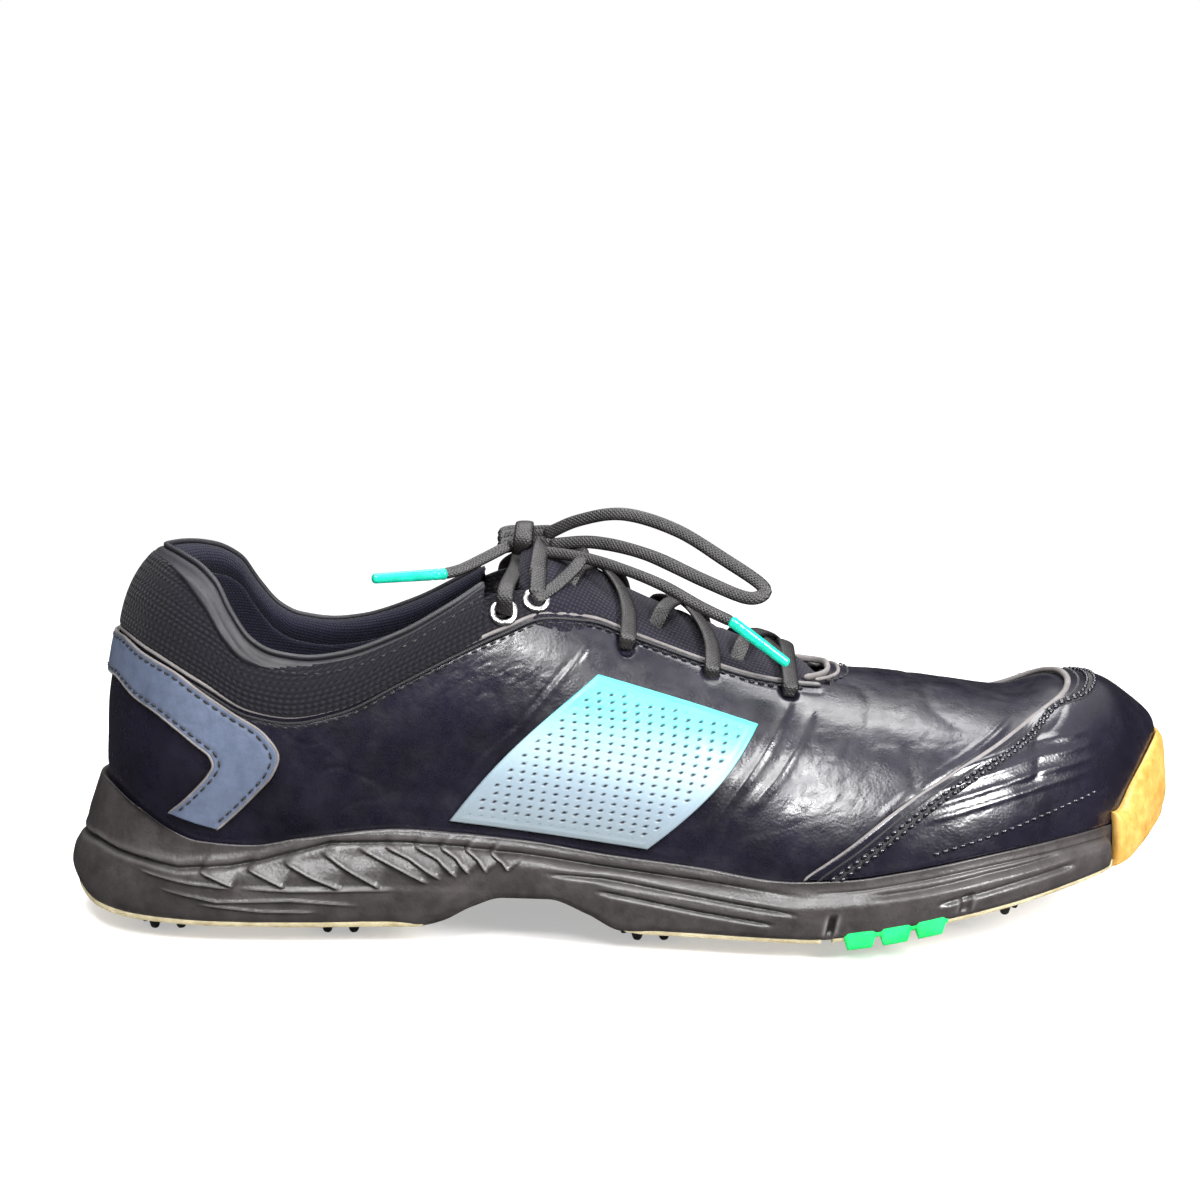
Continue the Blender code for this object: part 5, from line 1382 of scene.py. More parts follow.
def lathe(profile, sides=48):
    """A turned ring or disc as points and faces, around Z: a closed outline of (radius, height)."""
    turn = np.linspace(0, 2 * math.pi, sides, endpoint=False)
    profile = np.array(profile, float)
    points = np.stack(
        [profile[:, None, 0] * np.cos(turn), profile[:, None, 0] * np.sin(turn),
         np.broadcast_to(profile[:, None, 1], (len(profile), sides))], axis=-1
    )  # fmt: skip
    return points.reshape(-1, 3), quads(len(profile), sides, wrap_rows=True, wrap_columns=True)


def turned_to(points, centre, axis):
    """The points with Z turned to the axis and the origin moved to the centre."""
    turn = np.array(Vector(axis).to_track_quat("Z", "Y").to_matrix())
    return points @ turn.T + np.asarray(centre)


def eyelets():
    """Worn metal grommets: a domed flange with a barrel through the textile."""
    dome = [(2.1 + 0.85 * (1 - math.cos(k)), 0.2 + 0.6 * math.sin(k)) for k in np.linspace(0, math.pi, 13)]
    profile = [*dome, (3.75, 0.0), (2.6, -0.1), (2.45, -1.5), (2.15, -1.5)]
    for side, word in ((-1, "lateral"), (1, "medial")):
        for row in range(METAL_ROWS):
            w, t = HOLES[(side, row)]
            points, faces = lathe(profile, 56)
            worn = noise(points * (1, 1, 0.2), 1.6, 300 + row) * 0.1 + noise(points, 0.7, 310 + row) * 0.05
            points = points * (1 + worn[:, None] * np.array((0.4, 0.4, 1.0)))
            centre, up = around(w, t, 0.35), normal_at(w, t)
            name = f"eyelet_{word}_{'upper' if row == 0 else 'lower'}"
            made = build(name + "_ring", turned_to(points, centre, up), faces, [METAL_LOOK], weld=0)
            ride(made, "shoe", "eyelet", name)


def tongue():
    """Padded tongue: crowned across, with a sewn edge, and run on in under the vamp."""
    x = np.linspace(TONGUE_START_X, TONGUE_END_X, 160)
    u = station_of(x)[:, None]
    knots = np.linspace(TONGUE_START_X, 203, 30)
    edge = np.interp(x, knots, [leather_edge(-station_of(max(k, 133))) for k in knots])
    tip = smoothstep(x, TONGUE_START_X, 127)
    half = ((1 - edge + 0.075) * (0.72 + 0.28 * tip))[:, None]
    share = np.linspace(-1, 1, 90)
    a = share * half
    crown = np.sqrt(np.clip(1 - share**2, 0, 1)) ** 0.6
    tucked = smoothstep(x, 197, 207)[:, None]
    pad = (2.5 - 2.3 * tucked) * crown - 0.35 * hump(np.abs(share) - 0.86, 0.05)
    level = -2.9 + 1.8 * (1 - smoothstep(x, 134, 160)) - 1.2 * tucked[:, 0]
    base, normal = over(u, a), over_normal(u, a)
    lumps = (1 - tucked) * 0.22 * noise(base, (12, 14, 10), 17) - 0.35 * creases(base, (7, 22, 12), 18, 0.2)
    high = level[:, None] + pad + lumps
    round_end = (1 - smoothstep(x, TONGUE_START_X, 124))[:, None] * 1.4
    low = (level - 2.9)[:, None] + 0.4 * pad
    upper, under = (base + normal * level[..., None] for level in (high - round_end, low + round_end))
    made = sheet("tongue_pad", upper, under, [TONGUE_LOOK], round_edge=0.4)
    ride(made, "tongue_flap", "tongue_textile", "tongue")


# ---------------------------------------------------------------- laces

LOOP = [(128.5, -4.5, 104.2), (138, -7, 108.6), (150, -10, 110.6), (164, -14, 106.8), (177, -20, 99.5),
        (185.5, -24, 94.2), (186.8, -25.4, 91.6), (182, -26, 90.6), (171, -22.5, 94.6), (156, -16, 100.6),
        (142, -10, 103.0), (130, -6.8, 101.9)]  # fmt: skip
SIDE_LOOP = [(131.5, -19.0, 92.4), (137.5, -14.5, 97.6), (138.6, -10.0, 100.3), (134.0, -6.5, 100.4),
             (126.0, -3.0, 101.0)]  # fmt: skip
END_RIGHT = [(128, -8.6, 100.3), (138, -12, 99.4), (149, -17, 97.0), (160, -21.5, 93.2), (170, -24.5, 88),
             (178.6, -25, 83.9)]  # fmt: skip
AGLET_RIGHT = ((177.8, -25, 84.5), (193.4, -25, 72.6))
END_LEFT = [(119.4, -4.5, 101.6), (112, -9.5, 98.4), (106.4, -13.4, 96.2), (101.6, -15.7, 95.2)]
AGLET_LEFT = ((102.8, -15.2, 95.3), (83.2, -20.6, 94.8))
LACE_WIDTH = 4.4
LACE_THICK = 1.35
FACING = np.array((0.0, -1.0, 0.28))


def strap(points, up=FACING, width=LACE_WIDTH, thick=LACE_THICK):
    path = smooth_path(points)
    wander = 1 + 0.06 * noise(path, 9, 401)
    shape = rounded(len(path), 2)
    return path, up, width * shape * wander, thick * shape


def crossing_strap(start, end, rise):
    """A strap from a hole over the leather's edge and the tongue, and in under the edge on the other side."""
    (w0, t0), (w1, t1) = HOLES[start], HOLES[end]
    a0, a1 = math.copysign(1 - t0, w0), math.copysign(1 - t1, w1)
    tucked = start[1] != end[1]
    if tucked:
        w1 = math.copysign(abs(w1) + 4.2 / STATION_LENGTH, w1)
        a1 = math.copysign(1 - leather_edge(w1) + 2.2 / float(rib_scale(w1, t1)), w1)
    k = np.linspace(0, 1, 90)
    u = abs(w0) + (abs(w1) - abs(w0)) * smoothstep(k, 0.12, 0.88)
    a = a0 + (a1 - a0) * k
    length = np.linalg.norm(over(abs(w0), a0) - over(abs(w1), a1)) * 1.15
    from_end = np.minimum(k, 1 - k) * length
    depth = -1.3 + 2.75 * smoothstep(from_end, 0.0, 1.5)
    depth += (rise - 0.3) * smoothstep(from_end, 5.0, length * 0.45)
    if tucked:
        under = smoothstep((1 - k) * length, 13.0, 5.5)
        depth = depth * (1 - under) - 2.3 * under
    path, ups = over(u, a, depth), over_normal(u, a)
    fine = even(path, 0.75)
    ups = even(ups, 1, len(fine))
    wander = 1 + 0.05 * noise(fine, 8, 402)
    index = np.arange(len(fine))
    pinch = 0.72 + 0.28 * smoothstep(np.minimum(index, index[::-1]), 0, 4)
    return fine, ups, LACE_WIDTH * 1.02 * wander * pinch, LACE_THICK


def climbing_strap(side, bend_to):
    """From an eyelet up to the knot."""
    w, t = HOLES[(side, 0)]
    start = [around(w, t, d) for d in (-1.3, 1.5)]
    middle = around(w, t + 0.055, 3.6)
    points = [*start, middle, bend_to, KNOT + np.array((-0.5, 2.2 * side, -1.5))]
    path = smooth_path(points)
    up = normal_at(w, t) + np.array((-0.1, 0.0, 0.0))
    return path, up, LACE_WIDTH, LACE_THICK


def ring_strap(centre, radii, width, thick, tilt=0.0):
    """A band wrapped once around the strands of the knot."""
    turn = np.linspace(0, 2 * math.pi, 60)
    y, z = radii[0] * np.cos(turn), radii[1] * np.sin(turn)
    path = centre + np.column_stack([tilt * z, y, z])
    ups = np.column_stack([np.zeros(60), y / radii[0] ** 2, z / radii[1] ** 2])
    return path, ups, width, thick


def laces():
    last = len(LACE_ROWS) - 1
    runs = [crossing_strap((-1, last), (1, last), 1.0)]
    rises = {4: (0.5, 1.7), 3: (0.6, 1.9), 2: (0.7, 2.1), 1: (0.6, 1.8)}
    for row in range(last, 0, -1):
        for side in (-1, 1):
            runs.append(crossing_strap((side, row), (-side, row - 1), rises[row][0 if side < 0 else 1]))
    runs.append(climbing_strap(-1, np.array((121.2, -8.6, 96.5))))
    runs.append(climbing_strap(1, np.array((121.5, 8.4, 97.0))))
    knot = KNOT + np.array((0.0, -1.2, 0.0))
    runs.append(ring_strap(knot, (5.2, 4.3), 5.0, 1.6, 0.12))
    core = [(-6.5, -1.0, -0.4), (-3, 0.5, 0.2), (0, 0.2, 0.0), (4, -0.8, 0.3), (8.5, -3.0, 0.8)]
    for lift, wide in ((1.3, 3.8), (-1.2, 4.4), (0.0, 5.2)):
        path = smooth_path([knot + np.array(p) + np.array((0, 1.1 * lift, 1.2 * lift)) for p in core])
        shape = rounded(len(path), 3)
        runs.append((path, FACING, wide * shape, 2.6 * shape))
    side_loop = [around(*HOLES[(-1, 1)], d) for d in (-1.3, 1.2)] + SIDE_LOOP
    runs.append((smooth_path(side_loop), np.array((-0.3, -1.0, 0.6)), 3.8, 1.5))
    made = sweeps("lace_fixed", runs, [LACE_LOOK], sides=14)
    bend(made, UPPER_BEND, "lace", "lace_body")
    made = sweeps("lace_bow_loop", [strap(LOOP, width=3.5, thick=1.3)], [LACE_LOOK], sides=14)
    ride(made, "bow_loop", "lace", "lace_loop")
    for word, line, tip in (("right", END_RIGHT, AGLET_RIGHT), ("left", END_LEFT, AGLET_LEFT)):
        body = "cord_end_" + word
        made = sweeps("lace_tail_" + word, [strap(line, width=3.1, thick=1.5)], [LACE_LOOK], sides=14)
        ride(made, body, "lace", "lace_end_" + word)
        path = even(tip, 0.5)
        share = np.linspace(0, 1, len(path))
        size = 3.2 - 0.5 * share - 0.22 * hump(share - 0.1, 0.02) - 0.22 * hump(share - 0.2, 0.02)
        ends = rounded(len(path), 2)
        bar = (path, FACING, size * ends, size * 0.9 * ends)
        made = sweeps("aglet_tip_" + word, [bar], [AGLET_LOOK], sides=20, power=2.1)
        ride(made, body, "aglet", "aglet_" + word)


# ---------------------------------------------------------------- the sole


def plate_share(x):
    return 1 - smoothstep(x, ARCH_START_X, ARCH_START_X + 5) + smoothstep(x, ARCH_END_X - 5, ARCH_END_X)


def foam_bottom(x):
    return sole_bottom(x) + (PLATE + PLATE_SPACE) * plate_share(x)


def wall_foot(x):
    """The lower edge of the foam's wall, a little above the plates it hides."""
    heel = 1 - smoothstep(x, ARCH_START_X - 10, ARCH_START_X + 5)
    ball = smoothstep(x, ARCH_END_X - 5, ARCH_END_X + 10)
    return sole_bottom(x) + 1.15 * (heel + ball)


def toe_step(inset, x):
    plain = inset(x) if callable(inset) else inset
    return plain + (BUMPER_STEP - plain) * smoothstep(x, BUMPER_X - 3.0, BUMPER_X - 0.4)


def soften(values, width, axis):
    """The values averaged over this many neighbours along an axis."""
    kernel = np.hanning(width + 2)[1:-1]
    padded = np.pad(values, [(width // 2,) * 2 if k == axis else (0, 0) for k in (0, 1)], "edge")
    return np.apply_along_axis(lambda line: np.convolve(line, kernel / kernel.sum(), "valid"), axis, padded)


# How far in the wall lies, by its share from foot to rim: at the sides and at the heel.
WALL_PROFILE = [(0.0, 2.4), (0.04, 1.2), (0.14, 0.3), (0.36, 0.0), (0.6, 0.25), (0.75, 0.9), (1.0, 99)]
HEEL_PROFILE = [(0.0, 2.4), (0.05, 1.0), (0.15, 0.0), (0.28, 0.6), (0.4, 2.2), (0.48, 3.6), (0.66, 4.9),
                (0.85, 6.8), (1.0, 8.45)]  # fmt: skip
# Rows over the rim and down to the bed as (inset, lift), and rows under the foam as (inset, sunk).
BED_LEDGES = ((0.45, 0.35), (1.2, 0.15), (RIM, -0.5), (RIM + 0.05, -3.0))
# How strongly the ridge mark tints the foam: lighter on raised lines, near black in the hollows as painted
# shade.
RIDGE_GAIN = 2.2
UNDER_RINGS = ((22, 1), (9, 1), (5.3, 1), (5.0, 0.3), (3.2, 0))


def midsole():
    """Foam sole in one piece: a moulded wall, a rim that holds the upper, and the bed."""
    stations = np.linspace(0, 1, 860)
    wall = np.linspace(0, 1, 66)
    profile = smooth_function(WALL_PROFILE)
    heel_profile = smooth_function(HEEL_PROFILE)
    grids, ridges = {}, {}
    for side in (-1, 1):
        rows, ledges = [], []
        for share in wall:
            def inset(x, share=share):
                swell = float(profile(min(share, 0.75)))
                top = rim_inset(x) + 0.25
                heel = smoothstep(-x, -34, -6)
                side_wall = swell + (top - swell) * smoothstep(share, 0.55, 0.97)
                return side_wall + (heel_profile(share) - side_wall) * heel

            def stepped(x, inset=inset, share=share):
                return toe_step(inset, x) + 4.5 * (1 - share) * smoothstep(x, 286, 303)

            plan = plan_at(side, stepped, stations)
            x = plan[:, 0]
            z = wall_foot(x) + share * (rim_top(x) - wall_foot(x))
            rows.append(np.column_stack([plan, z]))
        rows = np.stack(rows)
        table, _, inward = HALVES[side]
        out = -sample(stations, table, inward)
        relief = sole_relief(rows, wall[:, None] * np.ones(len(stations)))
        relief *= smoothstep(-rows[..., 0], -BUMPER_X + 1, -BUMPER_X + 6)
        rows[..., :2] += out[None] * relief[..., None]
        # The wall's height over its smoothed form. It colours the foam lighter on raised lines and near black
        # in the hollows, the latter as painted shade.
        ridges[side] = relief - soften(soften(relief, 5, 0), 7, 1)
        for inset, lift in BED_LEDGES:
            def ledge_inset(x, extra=inset):
                return rim_inset(x) + extra

            stepped = (lambda x, f=ledge_inset: toe_step(f, x)) if inset < RIM else ledge_inset
            plan = plan_at(side, stepped, stations)
            x = plan[:, 0]
            z = rim_top(x) + lift if lift > -3 else footbed(x) - SKIN_SPACE
            ledges.append(np.column_stack([plan, z]))
        grids[side] = np.concatenate([rows, np.stack(ledges)])
    centre = (grids[-1][-1] + grids[1][-1]) / 2
    lower = (grids[-1][0] + grids[1][0]) / 2
    points, faces, marks, total = [], [], [], 0
    for side in (-1, 1):
        bed = centre.copy()
        bed[:, 2] = footbed(bed[:, 0]) - SKIN_SPACE
        under = lower.copy()
        under[:, 2] = foam_bottom(under[:, 0])
        hidden = [under]
        for inset, sunk in UNDER_RINGS:
            reach = np.linalg.norm(grids[side][0][:, :2] - under[:, :2], axis=1)
            share = np.clip(1 - (inset - 2.4) / np.maximum(reach, 0.1), 0.05, 1)[:, None]
            row = under[:, :2] + (grids[side][0][:, :2] - under[:, :2]) * share
            x = row[:, 0]
            hidden.append(np.column_stack([row, wall_foot(x) + (foam_bottom(x) - wall_foot(x)) * sunk]))
        grid = np.concatenate([np.stack(hidden), grids[side], bed[None]])
        faces.append(quads(*grid.shape[:2], start=total))
        points.append(grid.reshape(-1, 3))
        ridge = np.zeros(grid.shape[:2])
        ridge[len(hidden) : len(hidden) + len(wall)] = ridges[side]
        marks.append(ridge.ravel() * RIDGE_GAIN)
        total += len(points[-1])
    marks = {"ridge": np.concatenate(marks)}
    made = build("midsole_foam", np.vstack(points), np.vstack(faces), [SOLE_LOOK], weld=0.02, marks=marks)
    bend(made, SOLE_BEND, "midsole", "midsole_rear", "midsole_forefoot")


def floor_sheet(name, gap, low, high, look, slot, node):
    """An insole layer in the shape of the foot, between two heights over the bed."""
    stations = np.linspace(0.004, 0.996, 230)
    lines = {side: plan_at(side, lambda x: upper_inset(x) + gap, stations) for side in (-1, 1)}
    k = np.linspace(0, 1, 34)[:, None, None]
    plan = lines[-1] * (1 - k) + lines[1] * k
    x = plan[..., 0]
    dish = 1.2 * (np.abs(2 * k[..., 0] - 1) ** 3)
    top, bottom = (np.dstack([plan, footbed(x) + level + dish * 0.4]) for level in (high, low))
    made = sheet(name, top, bottom, [look])
    bend(made, UPPER_BEND, slot, node)


def tread(x, y, word):
    """Raised ribs and pads on an outsole plate, away from its cleats."""
    wave = np.sin((x + 0.55 * np.abs(y)) * 2 * math.pi / 6.4)
    ribs = 0.75 * smoothstep(wave, 0.1, 0.6)
    nubs = np.sin(x * 2 * math.pi / 4.6) * np.sin(y * 2 * math.pi / 4.6)
    nubs = 0.6 * smoothstep(nubs, 0.25, 0.55) * smoothstep(-np.abs(y), -5, -3)
    ribs = np.maximum(ribs * smoothstep(np.abs(y), 3, 6), nubs)
    for name, (cx, cy) in CLEATS.items():
        if name.startswith(word):
            ring = np.hypot(x - cx, y - cy)
            ribs = ribs * smoothstep(ring, 10.4, 11.6) + 0.5 * hump(ring - 10.6, 0.55)
    return ribs


def outsole(word, start, end):
    """Rubber plate with an eased edge, a tread and a bore for each cleat."""
    rows = 96
    lines = {}
    count = int((end - start) / 0.62) + 2
    for s in (-1, 1):
        first = 0.0 if word == "heel" else station_of(start, s, PLATE_INSET)
        last = 1.0 if word == "toe" else station_of(end, s, PLATE_INSET)
        stations = np.linspace(first, last, count + (0 if word == "ball" else 40))
        lines[s] = plan_at(s, lambda x: 1.35 + 8.0 * smoothstep(x, 278, 303), stations)
    k = np.linspace(0, 1, rows)[:, None, None]
    k = (1 - np.cos(k * math.pi)) / 2 * 0.35 + k * 0.65
    plan = lines[-1] * (1 - k) + lines[1] * k
    x, y = plan[..., 0], plan[..., 1]
    width = np.linalg.norm(lines[1] - lines[-1], axis=1)[None]
    from_edge = np.minimum(k[..., 0], 1 - k[..., 0]) * width
    ease = 1.5 * (1 - np.sqrt(np.clip(1 - (1 - np.clip(from_edge / 2.6, 0, 1)) ** 2, 0, 1)))
    low = sole_bottom(x) + ease - tread(x, y, word) * smoothstep(from_edge, 3.0, 4.4)
    high = np.maximum(foam_bottom(x) - 0.15, low + 0.5)
    bottom, top = np.dstack([plan, low]), np.dstack([plan, high])
    made = sheet("outsole_plate_" + word, bottom, top, [CREAM_LOOK], round_edge=0.0)
    tools = []
    for name, (cx, cy) in CLEATS.items():
        if name.startswith(word):
            z = float(sole_bottom(cx))
            ring, faces = lathe([(0.0, -8), (BORE_RADIUS, -8), (BORE_RADIUS, 9), (0.0, 9)], 40)
            tool = build("bore", ring + np.array((cx, cy, z)), faces, [CREAM_LOOK], weld=0.01)
            change = made.modifiers.new("bore", "BOOLEAN")
            change.operation, change.solver, change.object = "DIFFERENCE", "EXACT", tool
            tools.append(tool)
    bake(made)
    for tool in tools:
        bpy.data.objects.remove(tool)
    if word == "toe":
        bend(made, SOLE_BEND, "outsole", "outsole_toe")
    else:
        ride(made, "shoe", "outsole", "outsole_" + word)


# A lug's section from its hidden side round the bottom: inset, share of its height, and dent.
LUG_SECTION = ((13.0, 1.0, 0), (13.0, 0.06, 0), (12.2, 0.0, 0), (9.0, 0.0, 0.5), (5.0, 0.0, 0.2),
               (1.9, 0.0, 0), (1.0, 0.08, 0), (0.5, 0.24, 0), (0.35, 0.5, 0), (0.35, 0.75, 0),
               (0.6, 1.0, 0))  # fmt: skip


def lug_pods():
    """Green edge lugs beside the groove, three in a pod."""
    x = np.linspace(LUG_START_X + 0.3, LUG_END_X - 0.3, 130)
    pitch = (LUG_END_X - LUG_START_X) / 3
    phase = ((x - LUG_START_X) % pitch) / pitch
    rise = between(phase, 0.03, 0.14, 0.8, 0.93)
    for side, word in ((-1, "lateral"), (1, "medial")):
        def edge(inset):
            path = plan_path(side, inset)[1]
            return np.interp(x, path[:, 0], path[:, 1]) + side * -0.5 * (1 - rise)

        high = sole_bottom(x) + 3.9 + 0.5 * np.sin(np.pi * phase)
        low = sole_bottom(x) + 0.5 - LUG_DROP * rise
        rows = [np.column_stack([x, edge(inset), low + (high - low) * share + dent * rise])
                for inset, share, dent in LUG_SECTION]  # fmt: skip
        grid = np.stack(rows)
        faces = quads(len(rows), len(x), wrap_rows=True).tolist()
        index = np.arange(len(rows) * len(x)).reshape(len(rows), len(x))
        faces += [index[:, 0].tolist(), index[::-1, -1].tolist()]
        made = build("lugs_" + word, grid.reshape(-1, 3), faces, [GREEN_LOOK], sharp=50)
        bend(made, SOLE_BEND, "green_rubber", "lug_pod_" + word)


def cleat_shape():
    """Soft cleat: a dished disc with a key ring, six curved legs and a stud."""
    h = CLEAT_HEIGHT
    disc = [(0.0, h - 1.5), (2.2, h - 1.5), (2.6, h - 1.9), (4.4, h - 1.9), (5.0, h - 1.6), (7.6, h - 1.55),
            (8.3, h - 1.25), (8.6, h - 0.8), (8.45, h - 0.35), (8.0, h - 0.2), (4.0, h - 0.2), (4.0, h + 1.9),
            (0.0, h + 1.9)]  # fmt: skip
    points, faces = lathe(disc, 60)
    all_points, all_faces, total = [points], faces.tolist(), len(points)
    for k in range(6):
        angle = k * math.pi / 3
        c, s = math.cos(angle), math.sin(angle)
        turn = np.array(((c, -s, 0), (s, c, 0), (0, 0, 1)))
        path = smooth_path([(6.0, 0, h - 0.9), (6.9, 0, 2.4), (7.1, 0, 1.2), (7.0, 0, 0.02)], 0.35)
        share = np.linspace(0, 1, len(path))
        shape = np.where(share > 0.9, 0.8, 1.0)
        wide, thick = (4.6 - 2.6 * share) * shape, (2.8 - 1.2 * share) * shape
        bars = [(path, wide, thick, 14, 3.0)]
        if k % 2 == 0:
            stud = smooth_path([(2.6, 0, h - 1.8), (3.3, 0, 1.9), (3.2, 0, 1.3)], 0.35)
            bars.append((stud, 2.4, 1.6, 12, 2.6))
        for line, width, height, sides, power in bars:
            p, f, _ = sweep_parts(line, (1.0, 0, 0.2), width, height, sides, power, total)
            all_points.append(p @ turn.T)
            all_faces += f
            total += len(p)
    return np.vstack(all_points), all_faces


def lowest(x, reach):
    return float(min(sole_bottom(x - reach), sole_bottom(x)))


def cleats():
    points, faces = cleat_shape()
    for name, (x, y) in CLEATS.items():
        z = lowest(x, 9.0) - CLEAT_HEIGHT - 0.1
        spot = points + np.array((x, y, z))
        made = build("spike_" + name, spot, faces, [CLEAT_LOOK], weld=0.01, sharp=45)
        ride(made, "cleat_" + name + "_body", "cleat", "cleat_" + name)


def bumper_profile(side, u):
    spots = {}
    for inset, sunk in ((-0.75, 2.2), (-0.2, 1.0), (0.3, 4.6), (2.4, 4.5)):
        spots[inset] = plan_at(side, lambda x: inset + sunk * smoothstep(x, 284, 303), u)[0]
    x = float(spots[-0.75][0])
    low = float(sole_bottom(x)) + 0.8 + 4.5 * float(smoothstep(x, 286, 303))
    rim = float(rim_top(x))
    wall = rim - low
    w = side * u
    t_low = height_at(w, rim + 2.2)
    t_high = max(crossing(w, bumper_top), t_low + 0.02)
    outer = [(*spots[0.3], low), (*spots[-0.2], low + 0.2 * wall), (*spots[-0.75], low + 0.5 * wall),
             (*spots[-0.2], low + 0.85 * wall)]  # fmt: skip
    inner = [(*spots[2.4], low + share * wall) for share in (0.0, 0.3, 0.6, 0.9)]
    for k in (0.0, 0.33, 0.66, 0.9, 1.0):
        t = t_low + (t_high - t_low) * k
        outer.append(tuple(around(w, t, 4.9 - 1.7 * k - 0.8 * (k == 1.0))))
        inner.append(tuple(around(w, t, 1.9)))
    return np.array(outer), np.array(inner)


def bumper():
    columns = []
    for side in (-1, 1):
        start = float(station_of(BUMPER_X - 0.5, side, 0.0))
        half = [bumper_profile(side, min(u, 0.9995)) for u in np.linspace(start, 1, 22)]
        columns += half if side < 0 else half[-2::-1]
    grids = []
    for part in (0, 1):
        grid = np.array([column[part] for column in columns])
        knots = np.arange(len(grid))
        across = smooth_function(list(zip(knots, grid.reshape(len(grid), -1))))
        grid = across(np.linspace(0, len(knots) - 1, BUMPER_COLUMNS)).reshape(BUMPER_COLUMNS, -1, 3)
        levels = np.arange(grid.shape[1])
        up = smooth_function(list(zip(levels, grid.transpose(1, 0, 2).reshape(len(levels), -1))))
        grid = up(np.linspace(0, len(levels) - 1, BUMPER_ROWS)).reshape(BUMPER_ROWS, BUMPER_COLUMNS, 3)
        for axis in range(3):
            ends = grid[[0, -1], :, axis].copy()
            grid[..., axis] = soften(soften(grid[..., axis], 19, 0), 9, 1)
            grid[[0, -1], :, axis] = ends
        grids.append(grid)
    outer, inner = grids
    away = unit(outer - inner, 1e-9)
    relief = lumps(outer, (0.22, 9, 501), (0.08, 3, 502))
    made = sheet("toe_guard", outer + away * relief[..., None], inner, [AMBER_LOOK], round_edge=0.45)
    ride(made, "forefoot", "bumper", "toe_bumper")


def carried_over():
    """Finishes of the inner pieces that the frame shows as they are."""
    looks = dict.fromkeys(("heel_counter", "toe_puff", "shank"), BOARD_LOOK)
    looks["collar_foam"] = FOAM_LOOK
    looks.update({"socket_" + name: CLEAT_LOOK for name in CLEATS})
    for name, look in looks.items():
        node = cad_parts[name]
        node.data.materials.clear()
        node.data.materials.append(look)


# ---------------------------------------------------------------- the room


def area_light(name, place, aim, size, power, color=(1, 1, 1)):
    data = bpy.data.lights.new(name, "AREA")
    data.shape = "RECTANGLE"
    data.size, data.size_y = size
    data.energy = power
    data.color = color
    made = bpy.data.objects.new(name, data)
    made.location = place
    made.rotation_euler = (Vector(aim) - Vector(place)).to_track_quat("-Z", "Y").to_euler()
    bpy.context.scene.collection.objects.link(made)


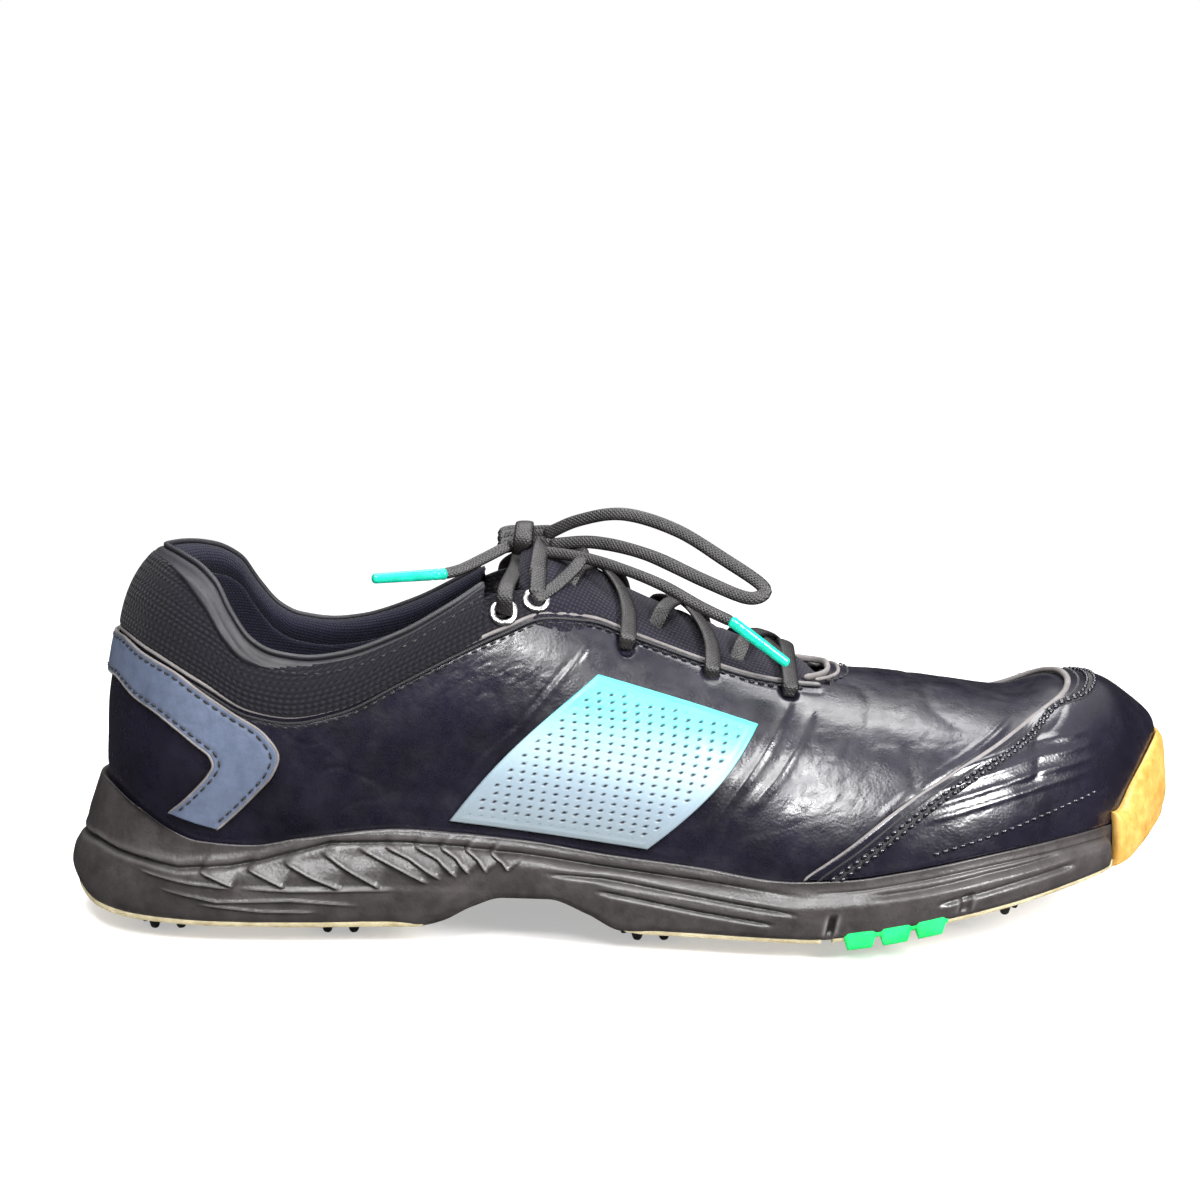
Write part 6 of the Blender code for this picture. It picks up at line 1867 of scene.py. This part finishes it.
def room():
    size, level = 6.0, -0.0004
    floor = bpy.data.meshes.new("floor")
    corners = [(x * size, y * size, level) for x, y in ((-1, -1), (1, -1), (1, 1), (-1, 1))]
    floor.from_pydata(corners, [], [(0, 1, 2, 3)])
    # The floor glows. Near the shoe the glow is painted light that weakens the shoe's cast shadow; far out,
    # where its base colour fades to black, the stronger glow makes it a white backdrop.
    look = Look("glowing_floor")
    where = look.node("TexCoord").outputs["Object"]
    away = look.node("VectorMath", {"operation": "LENGTH"}, i0=where).outputs["Value"]
    fade = look.ramp(away, (0.25, 0.0), (0.75, 1.0))
    color = look.mix(fade, (0.62, 0.60, 0.59), (0.0, 0.0, 0.0))
    strength = look.math("ADD", look.math("MULTIPLY", fade, 0.6), 0.42)
    look.finish(Base_Color=color, Roughness=0.7, Emission_Color=(1.0, 1.0, 1.0), Emission_Strength=strength,
                Specular_IOR_Level=0.0)  # fmt: skip
    floor.materials.append(look.made)
    ground = bpy.data.objects.new("floor", floor)
    ground.visible_glossy = False
    bpy.context.scene.collection.objects.link(ground)

    # The camera sees white, shiny surfaces a dark room with a bright ceiling, and the rest soft light.
    world = bpy.data.worlds.new("studio")
    bpy.context.scene.world = world
    world.use_nodes = True
    world.node_tree.nodes.clear()
    sky = Nodes(world.node_tree)
    height = sky.node("SeparateXYZ", i0=sky.node("TexCoord").outputs["Generated"]).outputs[2]
    soft = sky.ramp(height, (0.0, (0.55, 0.55, 0.561)), (1.0, (1.0, 1.0, 1.02)))
    shine = sky.ramp(height, (0.3, (0.03, 0.0297, 0.0309)), (0.95, (0.95, 0.9405, 0.9785)))
    shine.node.color_ramp.interpolation = "EASE"
    rays = sky.node("LightPath").outputs
    light = sky.node("Background", i0=soft, i1=0.85).outputs[0]
    mirrored = sky.node("Background", i0=shine, i1=1.0).outputs[0]
    seen = sky.node("Background", i0=(1, 1, 1), i1=1.0).outputs[0]
    for ray, other in (("Is Glossy Ray", mirrored), ("Is Camera Ray", seen)):
        light = sky.node("MixShader", i0=rays[ray], i1=light, i2=other).outputs[0]
    sky.node("OutputWorld", i0=light)

    area_light("key", (-0.15, -0.45, 0.85), (0.0, 0.0, 0.05), (0.5, 0.35), 9.0)
    area_light("toe_light", (0.55, -0.5, 0.4), (0.1, 0.0, 0.05), (0.24, 0.26), 12.0)
    area_light("front", (-0.06, -0.72, 0.66), (-0.03, 0.0, 0.06), (0.2, 0.16), 5.0)
    area_light("top", (0.05, 0.25, 0.7), (0.05, 0.0, 0.05), (0.6, 0.3), 5.0)
    bpy.context.scene.view_settings.view_transform = "Standard"


CAMERA_ELEVATION = math.radians(9.5)
CAMERA_DISTANCE = 0.6837
CAMERA_TARGET = (-0.00633, 0.0023, 0.08565)


def camera():
    target = Vector(CAMERA_TARGET)
    data = bpy.data.cameras.new("camera")
    data.lens, data.sensor_width = 75, 36
    made = bpy.data.objects.new("camera", data)
    back = Vector((0, -math.cos(CAMERA_ELEVATION), math.sin(CAMERA_ELEVATION)))
    made.location = target + CAMERA_DISTANCE * back
    made.rotation_euler = (target - made.location).to_track_quat("-Z", "Y").to_euler()
    bpy.context.scene.collection.objects.link(made)
    bpy.context.scene.camera = made


upper_leather()
upper_lining()
leather_edges()
heel_overlay()
for side, word in ((-1, "lateral"), (1, "medial")):
    saddle_panel(side, word)
    eyestay(side, word)
toe_cap()
collar()
eyelets()
tongue()
laces()
midsole()
for name, gap, low, high, look, slot, node in (
    ("insole_board", 3.4, -0.1, 1.1, BOARD_LOOK, "board", "strobel_board"),
    ("sockliner_top", 4.0, 1.5, 4.7, SOCK_LOOK, "sockliner", "sockliner"),
):
    floor_sheet(name, gap, low, high, look, slot, node)
outsole("heel", 0.0, ARCH_START_X)
outsole("ball", ARCH_END_X, FLEX_X - 1.5)
outsole("toe", FLEX_X + 1.5, 303.0)
lug_pods()
cleats()
bumper()
carried_over()
room()
camera()
